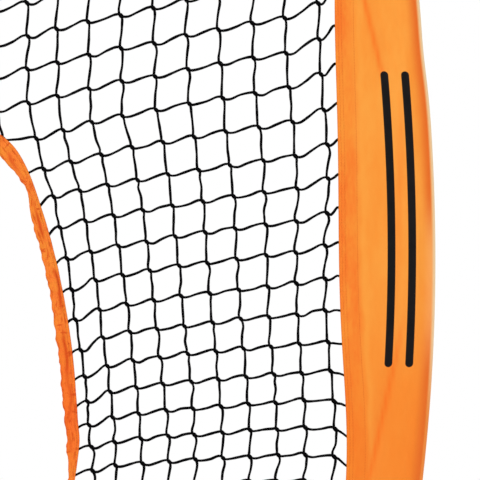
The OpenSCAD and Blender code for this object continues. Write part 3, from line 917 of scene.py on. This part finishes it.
class SCREEN_OT_straps(bpy.types.Operator):
    """Build the corner straps and the pockets over the poles' tips"""
    bl_idname = "screen.straps"
    bl_label = "Straps and pockets"

    def execute(self, context):
        material = webbing_material()
        for name, side in SIDES:
            vertices, faces, readings = band(strap_path(side), 20 * MM, 1.7 * MM, (1, 0, 0))
            piece = new_piece("corner_webbing_" + name, vertices, faces, material,
                              readings)
            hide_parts("corner_strap_" + name)
            vertices, faces, readings = pocket_mesh(side)
            piece = new_piece("pocket_webbing_" + name, vertices, faces, material,
                              readings)
            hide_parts("pole_pocket_" + name)
        return {"FINISHED"}


def pocket_profile(length, r, wall):
    """Outline of the pocket's half section, as (run along the pole, distance from it): up
    the outside, over the rounded top and down the lining."""
    rounding, tip = 5 * MM, 0.4 * MM
    straight = length - rounding
    return [
        (0, r - wall), (0, r), *((s, r) for s in np.linspace(0.06, 1, 10) * straight),
        *((straight + rounding * math.sin(a), r - rounding + rounding * math.cos(a))
          for a in np.radians([30, 60, 90])),
        (length, (r - rounding) / 2), (length, tip), (length - wall, tip),
        (length - wall, r - wall - 2 * MM), (length - wall - 2 * MM, r - wall),
        *((s, r - wall) for s in np.linspace(0.9, 0.1, 6) * straight)]


def pocket_mesh(side):
    """A woven cap that stands on the bow's upper end: its wall, its rounded top and its lining."""
    low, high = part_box("pole_pocket_right")
    wall, r = 1.6 * MM, (high.y - low.y) / 2 - CLOTH_INSET
    radius = settings().bow.radius
    start, end = (math.asin((z - MID_Z) / radius) for z in (low.z + 3 * MM, SCREEN_TOP - 4 * MM))
    turns = np.linspace(0, 2 * np.pi, 32, endpoint=False)
    profile = pocket_profile((end - start) * radius, r, wall)
    points, along = [], []
    for s, reach in profile:
        angle = start + s / radius
        outward = np.array([math.cos(angle), 0, math.sin(angle)])
        center = np.array([bow_center_x(), 0, MID_Z]) + radius * outward
        for turn in turns:
            crease = cloth_noise(math.cos(turn) * 3, math.sin(turn) * 3, s * 60, 1)
            swell = 1 + 0.03 * crease if reach > 2 * MM else 1
            around = math.cos(turn) * outward + math.sin(turn) * np.array([0, 1, 0])
            points.append((center + swell * reach * around) * (side, 1, 1))
            along.append(s)
    faces = grid_faces(len(profile), len(turns), 0, True, True, flip=side < 0)
    return points, faces, {"along": along, "across": np.tile(turns * r, len(profile))}


class SCREEN_OT_loops(bpy.types.Operator):
    """Build the elastic loops that hold the hem to the base"""
    bl_idname = "screen.loops"
    bl_label = "Elastic loops"

    def execute(self, context):
        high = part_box("bungee_loops")[1]
        cord_r, sides = 2 * MM, 12
        loop_r = high.y - cord_r
        top_z = high.z - cord_r - loop_r
        arc = [(math.cos(a), math.sin(a)) for a in np.radians(np.arange(0, 181, 15))]
        outline = [(-loop_r * c, TUBE_Z - loop_r * s) for c, s in arc]
        outline += [(loop_r, z) for z in np.linspace(TUBE_Z, top_z, 12)[1:-1]]
        outline += [(loop_r * c, top_z + loop_r * s) for c, s in arc]
        outline += [(-loop_r, z) for z in np.linspace(top_z, TUBE_Z, 12)[1:-1]]
        parts = [tube([(x, y, z) for y, z in outline], cord_r, sides, (1, 0, 0), loop=True)
                 for x, _ in eyelet_places()]
        along = np.tile(np.repeat(run_along(np.array(outline)), sides), len(parts))
        vertices, faces = joined(parts)
        piece = new_piece("elastic_loops", vertices, faces, elastic_material(),
                          {"along": along})
        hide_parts("bungee_loops")
        return {"FINISHED"}


# ---- shader nodes ----


class Value:
    """The output of a node. + - * / and abs() on it add Math nodes."""

    def __init__(self, socket):
        self.socket = socket

    def __add__(self, other):
        return calc("ADD", self, other)

    def __sub__(self, other):
        return calc("SUBTRACT", self, other)

    def __rsub__(self, other):
        return calc("SUBTRACT", other, self)

    def __mul__(self, other):
        return calc("MULTIPLY", self, other)

    def __truediv__(self, other):
        return calc("DIVIDE", self, other)

    def __abs__(self):
        return calc("ABSOLUTE", self)


class Node:
    """A new node. Its choices are set first, then its inputs, as plain values or as the
    outputs of other nodes. Its own outputs are read by name or by number."""

    def __init__(self, tree, kind, inputs=None, **choices):
        self.node = tree.nodes.new(kind)
        for key, value in choices.items():
            setattr(self.node, key, value)
        for key, value in (inputs or {}).items():
            plug(value, self.node.inputs[key])

    def __getitem__(self, key):
        return Value(self.node.outputs[key])


def plug(value, socket):
    """Link an output to a socket, or set a plain number, vector or colour on it."""
    if isinstance(value, Value):
        socket.id_data.links.new(value.socket, socket)
    elif socket.type == "RGBA":
        socket.default_value = (*value[:3], 1)
    else:
        socket.default_value = value


def tree_of(*values):
    """The node tree that holds the first of the values that is an output."""
    return next(value.socket.id_data for value in values if isinstance(value, Value))


def calc(operation, *values):
    """A Math node. One of the values at least is an output."""
    return Node(tree_of(*values), "ShaderNodeMath", dict(enumerate(values)),
                operation=operation)[0]


def largest(*values):
    """The greatest of several values at each point."""
    return functools.reduce(lambda first, second: calc("MAXIMUM", first, second), values)


def step_mask(value, low, high, start=0.0, end=1.0):
    """A smooth step from start, where the value is low, to end, where it is high."""
    inputs = {"Value": value, "From Min": low, "From Max": high, "To Min": start, "To Max": end}
    return Node(tree_of(value), "ShaderNodeMapRange", inputs,
                interpolation_type="SMOOTHSTEP")[0]


def band_mask(value, low, rise, fall, high):
    """1 from rise to fall, with smooth steps down to 0 at low and at high."""
    return step_mask(value, low, rise) * step_mask(value, fall, high, 1.0, 0.0)


def mix_color(factor, first, second):
    """The first colour where the factor is 0, and the second where it is 1."""
    return Node(tree_of(factor), "ShaderNodeMix", {0: factor, 6: first, 7: second},
                data_type="RGBA")[2]


def cloud(coords, scale, detail, roughness=0.5):
    """Soft noise from 0 to 1."""
    return Node(tree_of(coords), "ShaderNodeTexNoise", {
        "Vector": coords, "Scale": scale, "Detail": detail, "Roughness": roughness})["Fac"]


def scaled(coords, factors):
    """Coordinates multiplied axis by axis, which draws a pattern out along the least."""
    return Node(tree_of(coords), "ShaderNodeVectorMath", {0: coords, 1: factors},
                operation="MULTIPLY")[0]


def vector_of(x, y, z):
    """Three values as one vector."""
    return Node(tree_of(x, y, z), "ShaderNodeCombineXYZ", {"X": x, "Y": y, "Z": z})[0]


def parts_of(vector):
    """A vector's values, read as X, Y and Z."""
    return Node(tree_of(vector), "ShaderNodeSeparateXYZ", {"Vector": vector})


# ---- shader groups ----


def new_group(name, inputs, outputs):
    """An empty shader group with named sockets, as its input node and its output sockets."""
    tree = bpy.data.node_groups.new(name, "ShaderNodeTree")
    for title, value in inputs.items():
        kind = "Vector" if isinstance(value, tuple) else "Float"
        kind = "Color" if title.startswith("Color") else kind
        socket = tree.interface.new_socket(title, in_out="INPUT", socket_type="NodeSocket" + kind)
        socket.default_value = (*value, 1) if kind == "Color" else value
    for title, kind in outputs.items():
        tree.interface.new_socket(title, in_out="OUTPUT", socket_type="NodeSocket" + kind)
    return Node(tree, "NodeGroupInput"), tree.nodes.new("NodeGroupOutput").inputs


def mottled_color_group():
    """Broad and fine drifts between two colours."""
    given, out = new_group(
        "mottled_color",
        {"Vector": (0.0, 0.0, 0.0), "Color A": (0.5, 0.5, 0.5), "Color B": (0.4, 0.4, 0.4),
         "Scale": 10.0, "Contrast": 1.0},
        {"Color": "Color", "Mask": "Float"})
    broad = cloud(given["Vector"], given["Scale"], 3.0)
    fine = cloud(given["Vector"], given["Scale"] * 7.0, 2.0)
    mask = step_mask((broad * 0.75 + fine * 0.25 - 0.5) * given["Contrast"], -0.25, 0.25)
    plug(mix_color(mask, given["Color A"], given["Color B"]), out["Color"])
    plug(mask, out["Mask"])


def plain_weave_group():
    """Crossing threads, each over one and under the next."""
    given, out = new_group(
        "plain_weave", {"U": 0.0, "V": 0.0, "Pitch": 0.001}, {"Height": "Float"})
    threads = []
    for first, second in (("U", "V"), ("V", "U")):
        across, along = given[first] / given["Pitch"], given[second] / given["Pitch"]
        thread = abs(calc("SINE", across * math.pi))
        over = calc("SINE", (along + calc("FLOOR", across)) * math.pi)
        threads.append(thread * (over * 0.5 + 0.5))
    plug(largest(*threads), out["Height"])


def stitch_row_group():
    """Mask of a row of stitches that runs along an edge, at a distance from it."""
    given, out = new_group(
        "stitch_row", {"Across": 0.0, "Along": 0.0, "Line": 0.004, "Pitch": 0.004,
                       "Half Width": 0.0005}, {"Mask": "Float"})
    near = 1.0 - abs(given["Across"] - given["Line"]) / given["Half Width"]
    wave = calc("SINE", given["Along"] / given["Pitch"] * (2 * math.pi))
    plug(step_mask(near, 0.0, 0.5) * step_mask(wave, -0.7, -0.3), out["Mask"])


def round_ended_stripe_group():
    """Mask of a long stripe with round ends."""
    given, out = new_group(
        "round_ended_stripe", {"Across": 0.0, "Along": 0.0, "Middle": 0.0, "Line": 0.0,
                               "Half Length": 0.2, "Half Width": 0.007}, {"Mask": "Float"})
    past = abs(given["Along"] - given["Middle"]) - (given["Half Length"] - given["Half Width"])
    past = largest(past, 0.0)
    off = given["Across"] - given["Line"]
    inside = given["Half Width"] - calc("SQRT", past * past + off * off)
    plug(step_mask(inside, -0.3 * MM, 0.3 * MM), out["Mask"])


def edge_wear_group():
    """Rubbed edges, broken up by noise. Pointiness comes from the material."""
    given, out = new_group(
        "edge_wear", {"Vector": (0.0, 0.0, 0.0), "Pointiness": 0.5, "Scale": 60.0, "Amount": 0.5},
        {"Mask": "Float"})
    chips = cloud(given["Vector"], given["Scale"], 6.0, 0.7)
    rubbed = step_mask(given["Pointiness"], 0.6, 0.72) * step_mask(chips, 0.42, 0.58)
    plug(rubbed * given["Amount"], out["Mask"])


def settled_dust_group():
    """Dust that gathers near the floor and on upward faces."""
    given, out = new_group(
        "settled_dust", {"Vector": (0.0, 0.0, 0.0), "Up": 0.0, "Amount": 0.3, "Reach": 0.1},
        {"Mask": "Float"})
    low = largest(1.0 - parts_of(given["Vector"])["Z"] / given["Reach"], 0.0)
    up = largest(given["Up"], 0.0) * 0.5
    speck = step_mask(cloud(given["Vector"], 480.0, 4.0), 0.35, 0.7)
    plug((low + up) * speck * given["Amount"], out["Mask"])


GROUPS = {"mottled_color": mottled_color_group, "plain_weave": plain_weave_group,
          "stitch_row": stitch_row_group, "round_ended_stripe": round_ended_stripe_group,
          "edge_wear": edge_wear_group, "settled_dust": settled_dust_group}


def use(group, inputs):
    """A shader group placed beside the nodes that feed it. It is built at its first use."""
    if group not in bpy.data.node_groups:
        GROUPS[group]()
    return Node(tree_of(*inputs.values()), "ShaderNodeGroup", inputs,
                node_tree=bpy.data.node_groups[group])


def mottle(coords, first, second, scale, contrast):
    """A colour that drifts between two others, with the mask of its drift."""
    return use("mottled_color", {"Vector": coords, "Color A": first, "Color B": second,
                                 "Scale": scale, "Contrast": contrast})


def stitch_rows(across, along, lines, pitch=4 * MM, half_width=0.55 * MM):
    """Mask of the rows of stitches at some distances from an edge."""
    return largest(*(use("stitch_row", {
        "Across": across, "Along": along, "Line": line, "Pitch": pitch,
        "Half Width": half_width})["Mask"] for line in lines))


def dust(coords, amount, reach):
    """Mask of the dust on a material, up to a reach above the floor."""
    normal = Node(tree_of(coords), "ShaderNodeNewGeometry")["Normal"]
    return use("settled_dust", {"Vector": coords, "Up": parts_of(normal)["Z"],
                                "Amount": amount, "Reach": reach})["Mask"]


# ---- materials ----

SEAM_STITCHES = (4.5 * MM, 9 * MM, 26 * MM)     # rows along a sleeve, from its seam
HEM_STITCHES = (4 * MM, 8 * MM)
TAPE_STITCHES = (4 * MM,)
STRIPE_LINES = (31 * MM, 60 * MM)               # from the bow's outer edge
STRIPE_MIDDLE = 1.11
STRIPE_HALF_LENGTH, STRIPE_HALF_WIDTH = 207 * MM, 5.5 * MM


class Finish:
    """A material in the making. Plain values go on the shader's own sockets."""

    def __init__(self, name, **shader):
        self.material = bpy.data.materials.new(name)
        self.material.use_nodes = True
        self.tree = self.material.node_tree
        self.surface = self.tree.nodes["Principled BSDF"]
        for key, value in shader.items():
            self.set(key.replace("_", " "), value)
        self.coords = Node(self.tree, "ShaderNodeTexCoord")["Object"]

    def set(self, socket, value):
        """Give the shader's socket a value."""
        plug(value, self.surface.inputs[socket])

    def reading(self, name):
        """A value that the mesh carries at each of its points."""
        return Node(self.tree, "ShaderNodeAttribute", attribute_name=name)["Fac"]

    def bump(self, height, distance, strength):
        """Raise the surface by a height of 0 to 1 times a distance."""
        self.set("Normal", Node(self.tree, "ShaderNodeBump", {
            "Height": height, "Distance": distance, "Strength": strength})["Normal"])


def orange_cloth(name):
    """A cloth finish, and how far each point lies from its sewn edge and along it."""
    cloth = Finish(name, Roughness=0.7, Specular_IOR_Level=0.1)
    return cloth, cloth.reading("from_seam"), cloth.reading("along")


def cloth_height(across, along, pitch, coords):
    """Weave and slubs of an orange cloth, from 0 to about 1."""
    weave = use("plain_weave", {"U": across, "V": along, "Pitch": pitch})["Height"]
    return weave * 0.5 + cloud(coords, 260.0, 3.0) * 0.5


def sleeve_material():
    """Sleeve cloth: a deeper band where the net is sewn in, painted shade in the creases along
    the folds and low down, and a painted highlight on the bright rim over the pole."""
    colors = settings().colors
    cloth, seam, along = orange_cloth("sleeve_cloth")
    edge = cloth.reading("from_edge")
    stretched = scaled(cloth.coords, (3.0, 1.0, 1.0))
    color = mottle(stretched, colors.orange, colors.orange_light, 5.0, 1.2)["Color"]

    wavy = seam + (cloud(cloth.coords, 16.0, 2.0) - 0.5) * (14 * MM)
    band_end = 33 * MM
    band_start = step_mask(along, 1.1, 1.35, 22 * MM, 12 * MM)
    band = step_mask(wavy, band_start, band_end, 1.0, 0.0)
    band_color = mottle(stretched, srgb(247, 112, 36), colors.orange, 14.0, 1.2)["Color"]
    color = mix_color(band * 0.85, color, band_color)
    # Painted shade that deepens towards the sleeve's lower part.
    lower = step_mask(along, 0.72, 1.08, 0.64, 0.0)
    color = mix_color(lower, color, colors.orange_deep)
    # Painted highlight along the ridge at the edge of the sewn band.
    ridge = band_mask(wavy, 28 * MM, band_end, band_end, 42 * MM)
    color = mix_color(ridge * 0.35, color, colors.orange_light)

    # Painted shade along the outer edge, weakest at mid-height and full towards the ends.
    from_rim_light = abs(along - RIM_LIGHT_Z)
    shade = band_mask(edge, 8 * MM, 12 * MM, 13 * MM, 27 * MM)
    shade *= step_mask(from_rim_light, 0.03, 0.13, 0.15, 1.0)
    color = mix_color(shade, color, srgb(232, 112, 38))
    # Painted shade in the creases of the folds.
    color = mix_color(cloth.reading("crease") * 0.75, color, srgb(248, 112, 28))
    # Painted highlight where light falls on the cloth over the pole: paler within 26 mm of the
    # outer edge near mid-height.
    edge_light = step_mask(edge, 8 * MM, 26 * MM, 1.0, 0.0)
    edge_light *= step_mask(from_rim_light, 0.03, 0.14, 0.24, 0.0)
    color = mix_color(edge_light, color, colors.orange_painted_light)
    # Painted highlight: a bright rim at the very edge, strongest above about 0.96 m.
    rim = step_mask(edge, 6 * MM, 12 * MM, 1.0, 0.0) * step_mask(along, 0.82, 0.96, 0.1, 0.9)
    color = mix_color(rim, color, srgb(255, 222, 172))

    thread = stitch_rows(seam, along, SEAM_STITCHES)
    color = mix_color(thread * 0.4, color, srgb(226, 92, 28))
    stripes = printed_stripes(cloth)
    ink = mottle(cloth.coords, colors.ink, srgb(18, 15, 15), 40.0, 1.0)["Color"]
    cloth.set("Base Color", mix_color(stripes, color, ink))
    cloth.set("Roughness", step_mask(stripes, 0.0, 1.0, 0.62, 0.45))
    weave = cloth_height(seam, along, 0.9 * MM, cloth.coords)
    cloth.bump(weave * 0.35 + thread, 0.35 * MM, 0.7)
    return cloth.material


def printed_stripes(cloth):
    """Mask of two plain stripes that follow the bow on the front of each sleeve."""
    part = parts_of(cloth.coords)
    x, z = abs(part["X"]) - bow_center_x(), part["Z"] - MID_Z
    inward = settings().bow.radius + SLEEVE_R - calc("SQRT", x * x + z * z)
    printed = largest(*(use("round_ended_stripe", {
        "Across": inward, "Along": part["Z"], "Middle": STRIPE_MIDDLE, "Line": line,
        "Half Length": STRIPE_HALF_LENGTH, "Half Width": STRIPE_HALF_WIDTH})["Mask"]
        for line in STRIPE_LINES))
    return printed * step_mask(cloth.reading("front"), 0.4, 0.6)


def binding_material():
    """Gathered tape: darker towards its widest level, with painted shade in fine creases along and
    across.
    """
    colors = settings().colors
    cloth, across, along = orange_cloth("binding_cloth")
    part = parts_of(cloth.coords)
    color = mottle(cloth.coords, colors.binding, colors.orange, 45.0, 3.2)["Color"]
    lower = step_mask(part["Z"], 0.82, 1.05, 0.75, 0.2) * step_mask(part["Z"], 0.74, 0.84, 0.4, 1.0)
    color = mix_color(lower, color, colors.binding_deep)
    gathers = cloud(vector_of(along * 0.3, across, part["Y"]), 240.0, 2.0)
    pinches = cloud(vector_of(along, across * 0.3, part["Y"]), 170.0, 1.0)
    # Painted shade in the gathers, the pinches and the creases of the tape.
    folds = largest(step_mask(gathers, 0.3, 0.5, 0.75, 0.0),
                    step_mask(pinches, 0.26, 0.38, 0.8, 0.0), cloth.reading("crease") * 0.95)
    color = mix_color(folds, color, srgb(214, 72, 18))
    thread = stitch_rows(across, along, TAPE_STITCHES, 3.4 * MM, 0.5 * MM)
    cloth.set("Base Color", mix_color(thread * 0.2, color, srgb(200, 84, 24)))
    weave = cloth_height(across, along, 0.8 * MM, cloth.coords)
    cloth.bump(weave * 0.4 + gathers * 1.2 - thread, 0.8 * MM, 0.8)
    return cloth.material


def hem_material():
    """Hem cloth with two rows of stitches."""
    colors = settings().colors
    cloth, across, along = orange_cloth("hem_cloth")
    color = mottle(cloth.coords, colors.orange, colors.orange_deep, 12.0, 1.2)["Color"]
    thread = stitch_rows(across, along, HEM_STITCHES)
    cloth.set("Base Color", mix_color(thread * 0.6, color, srgb(216, 92, 26)))
    weave = cloth_height(across, along, 0.9 * MM, cloth.coords)
    cloth.bump(weave * 0.4 + thread, 0.35 * MM, 0.7)
    return cloth.material


def net_cord_material():
    """Dull black cord with the slight ribs of its braid."""
    cord = Finish("net_cord", Roughness=0.85, Specular_IOR_Level=0.04)
    cord.set("Base Color", mottle(
        cord.coords, settings().colors.cord, srgb(10, 9, 11), 120.0, 1.0)["Color"])
    rib = 2.4 * MM
    cord.bump(abs(calc("SINE", cord.reading("along") * (2 * math.pi / rib))), 0.35 * MM, 0.8)
    return cord.material


def webbing_material():
    """Black polyester webbing in a plain weave."""
    webbing = Finish("black_webbing", Roughness=0.72)
    webbing.set("Base Color", mottle(
        webbing.coords, srgb(30, 30, 32), srgb(46, 45, 48), 60.0, 1.2)["Color"])
    weave = use("plain_weave", {"U": webbing.reading("across"), "V": webbing.reading("along"),
                                "Pitch": 1.3 * MM})["Height"]
    webbing.bump(weave, 0.5 * MM, 0.9)
    return webbing.material


def elastic_material():
    """The braided cover of an elastic cord."""
    elastic = Finish("elastic_cord", Roughness=0.6)
    elastic.set("Base Color", mottle(
        elastic.coords, srgb(24, 24, 26), srgb(44, 43, 46), 200.0, 1.4)["Color"])
    grain = Node(elastic.tree, "ShaderNodeTexVoronoi", {"Vector": elastic.coords, "Scale": 900.0})
    elastic.bump(grain["Distance"], 0.3 * MM, 0.6)
    return elastic.material


def coated_steel_material():
    """Black powder coating with an orange-peel skin, rubbed bright along edges."""
    steel = Finish("powder_coated_steel", Roughness=0.42)
    color = mottle(steel.coords, settings().colors.steel, srgb(46, 47, 50), 30.0, 1.0)["Color"]
    geometry = Node(steel.tree, "ShaderNodeNewGeometry")
    worn = use("edge_wear", {"Vector": steel.coords, "Pointiness": geometry["Pointiness"],
                             "Scale": 140.0, "Amount": 0.75})["Mask"]
    dusty = dust(steel.coords, 0.12, 50 * MM)
    color = mix_color(worn, color, srgb(150, 150, 152))
    steel.set("Base Color", mix_color(dusty, color, srgb(140, 134, 124)))
    steel.set("Metallic", worn)
    steel.set("Roughness", step_mask(dusty, 0.0, 0.4, 0.42, 0.75))
    steel.bump(cloud(steel.coords, 700.0, 2.0) - worn * 0.6, 0.15 * MM, 0.5)
    return steel.material


def bare_metal_material(name, light, dark, roughness):
    """Plated steel, faintly clouded and scratched."""
    metal = Finish(name, Metallic=1.0, Roughness=roughness)
    clouded = mottle(metal.coords, light, dark, 80.0, 1.4)
    metal.set("Base Color", clouded["Color"])
    metal.set("Roughness", step_mask(
        clouded["Mask"], 0.0, 1.0, roughness - 0.08, roughness + 0.12))
    metal.bump(cloud(scaled(metal.coords, (900.0, 900.0, 60.0)), 1.0, 3.0), 0.05 * MM, 0.4)
    return metal.material


def moulded_material(name, base, second, roughness, grain, depth):
    """Moulded plastic or rubber with a fine grain and some dust low down."""
    moulding = Finish(name, Roughness=roughness)
    color = mottle(moulding.coords, base, second, 50.0, 1.2)["Color"]
    dusty = dust(moulding.coords, 0.24, 40 * MM)
    moulding.set("Base Color", mix_color(dusty, color, srgb(138, 132, 122)))
    moulding.set("Roughness", step_mask(dusty, 0.0, 0.4, roughness, 0.85))
    moulding.bump(cloud(moulding.coords, grain, 3.0), depth, 0.6)
    return moulding.material


def fibreglass_material():
    """Pultruded rod: fine glass threads along its length under a satin resin."""
    rod = Finish("fibreglass", Roughness=0.38, Coat_Weight=0.15)
    threads = cloud(scaled(rod.coords, (1600.0, 1600.0, 14.0)), 1.0, 3.0)
    rod.set("Base Color", mix_color(
        step_mask(threads, 0.4, 0.62), srgb(38, 40, 43), srgb(70, 72, 74)))
    rod.bump(threads, 0.08 * MM, 0.5)
    return rod.material


def dress(material, *starts):
    """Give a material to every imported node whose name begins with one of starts."""
    found = [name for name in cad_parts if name.startswith(starts)]
    if not found:
        raise RuntimeError(f"no packed node begins with {starts}")
    for name in found:
        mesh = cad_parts[name].data
        mesh.materials.clear()
        mesh.materials.append(material)


class SCREEN_OT_metal(bpy.types.Operator):
    """Finish the steel base, its fasteners and the ferrules"""
    bl_idname = "screen.metal"
    bl_label = "Metal finishes"

    def execute(self, context):
        dress(coated_steel_material(), "base_", "corner_bracket_", "leg_tube_")
        dress(bare_metal_material("zinc_plate", srgb(176, 178, 182), srgb(150, 153, 158), 0.34),
              "pivot_", "leg_rivets_", "inner_clip_", "outer_clip_", "ferrules_")
        dress(bare_metal_material("nickel", srgb(204, 203, 200), srgb(180, 179, 176), 0.24),
              "inner_button_", "outer_button_", "hem_grommets")
        return {"FINISHED"}


class SCREEN_OT_mouldings(bpy.types.Operator):
    """Finish the rods, the moulded parts and the rubber"""
    bl_idname = "screen.mouldings"
    bl_label = "Moulded finishes"

    def execute(self, context):
        dress(fibreglass_material(), "pole_lower_", "pole_middle_", "pole_upper_")
        dress(moulded_material("black_nylon", srgb(32, 32, 34), srgb(44, 44, 46), 0.48, 500.0,
                               0.1 * MM), "knuckle_", "pole_tip_", "bungee_balls")
        dress(moulded_material("black_rubber", srgb(26, 26, 27), srgb(40, 39, 39), 0.78, 320.0,
                               0.25 * MM), "foot_", "bracket_pad_")
        dress(elastic_material(), "shock_cord_")
        return {"FINISHED"}


# ---- stage ----

LAMPS = (
    # name, place, power
    ("key", (-3.2, -4.6, 4.4), 182),
    ("fill", (4.4, -3.6, 2.4), 75),
    ("rear", (1.5, 4.8, 3.6), 115),
)
LAMP_SIZE = 3.0
SURROUND_LIGHT = 0.46       # how strongly the surround lights the object


def floor_material():
    """A pale floor that fades into the white surround."""
    floor = Finish("studio_floor", Roughness=0.9, Specular_IOR_Level=0.1)
    floor.set("Base Color", mottle(
        floor.coords, srgb(240, 240, 240), srgb(246, 246, 246), 2.0, 1.0)["Color"])
    reach = Node(floor.tree, "ShaderNodeVectorMath", {0: floor.coords}, operation="LENGTH")
    far = step_mask(reach["Value"], 2.2, settings().stage.floor_radius * 0.95)
    clear = Node(floor.tree, "ShaderNodeBsdfTransparent")[0]
    fading = Node(floor.tree, "ShaderNodeMixShader",
                  {0: far, 1: Value(floor.surface.outputs[0]), 2: clear})[0]
    plug(fading, floor.tree.nodes["Material Output"].inputs["Surface"])
    return floor.material


def white_surround():
    """White behind the object and in its reflections, and a plain grey light on it."""
    world = bpy.data.worlds.new("surround")
    world.use_nodes = True
    world.node_tree.nodes.clear()
    rays = Node(world.node_tree, "ShaderNodeLightPath")
    seen = largest(rays["Is Camera Ray"], rays["Is Glossy Ray"], rays["Is Transmission Ray"])
    dim, white = (Node(world.node_tree, "ShaderNodeBackground", {
        "Color": (1, 1, 1), "Strength": strength})[0] for strength in (SURROUND_LIGHT, 1.0))
    mixed = Node(world.node_tree, "ShaderNodeMixShader", {0: seen, 1: dim, 2: white})[0]
    Node(world.node_tree, "ShaderNodeOutputWorld", {"Surface": mixed})
    bpy.context.scene.world = world


def soft_lamp(name, place, power):
    """A round studio lamp that faces the middle of the screen."""
    light = bpy.data.lights.new(name, "AREA")
    light.shape, light.size, light.energy = "DISK", LAMP_SIZE, power
    lamp = linked(name, light)
    lamp.location = place
    lamp.rotation_euler = (Vector((0, 0, MID_Z)) - Vector(place)).to_track_quat(
        "-Z", "Y").to_euler()


class SCREEN_OT_stage(bpy.types.Operator):
    """Set the floor, the lamps, the surround and the camera"""
    bl_idname = "screen.stage"
    bl_label = "Stage"

    def execute(self, context):
        stage = settings().stage
        ring = [(stage.floor_radius * math.cos(a), stage.floor_radius * math.sin(a), 0)
                for a in np.linspace(0, 2 * np.pi, 96, endpoint=False)]
        mesh = bpy.data.meshes.new("floor")
        mesh.from_pydata(ring, [], [list(range(len(ring)))])
        mesh.materials.append(floor_material())
        floor = linked("floor", mesh)
        floor.location.z = -0.5 * MM        # clear of the undersides that stand on it
        white_surround()
        for name, place, power in LAMPS:
            soft_lamp(name, place, power)
        camera = linked("camera", bpy.data.cameras.new("camera"))
        camera.data.lens = camera.data.sensor_width * stage.distance / stage.view_w
        camera.data.clip_end = 100
        camera.location = (stage.view_x, -stage.distance, stage.view_z)
        camera.rotation_euler = (math.radians(90), 0, 0)
        context.scene.camera = camera
        context.scene.view_settings.view_transform = "Standard"
        return {"FINISHED"}


# ---- add-on ----

BUILDERS = (SCREEN_OT_net, SCREEN_OT_sleeves, SCREEN_OT_binding, SCREEN_OT_hems,
            SCREEN_OT_straps, SCREEN_OT_loops, SCREEN_OT_metal, SCREEN_OT_mouldings,
            SCREEN_OT_stage)


class SCREEN_PT_panel(bpy.types.Panel):
    """Lists the builders of the training screen"""
    bl_label = "Training Screen"
    bl_idname = "SCREEN_PT_panel"
    bl_space_type = "VIEW_3D"
    bl_region_type = "UI"
    bl_category = "Screen"

    def draw(self, context):
        for group in ("bow", "net", "opening", "colors", "stage"):
            box = self.layout.box()
            box.label(text=group.capitalize())
            values = getattr(settings(), group)
            for key in values.__annotations__:
                box.prop(values, key)
        for builder in BUILDERS:
            self.layout.operator(builder.bl_idname)


CLASSES = (BowSettings, NetSettings, OpeningSettings, ColorSettings, StageSettings,
           ScreenSettings, *BUILDERS, SCREEN_PT_panel)


def register():
    """Add the classes, and the settings to every scene."""
    for cls in CLASSES:
        bpy.utils.register_class(cls)
    bpy.types.Scene.training_screen = PointerProperty(type=ScreenSettings)


def unregister():
    """Take away what register added."""
    del bpy.types.Scene.training_screen
    for cls in reversed(CLASSES):
        bpy.utils.unregister_class(cls)


def main():
    """Build the whole screen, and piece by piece."""
    register()
    for builder in BUILDERS:
        group, name = builder.bl_idname.split(".")
        getattr(getattr(bpy.ops, group), name)()


if __name__ == "__main__":
    main()
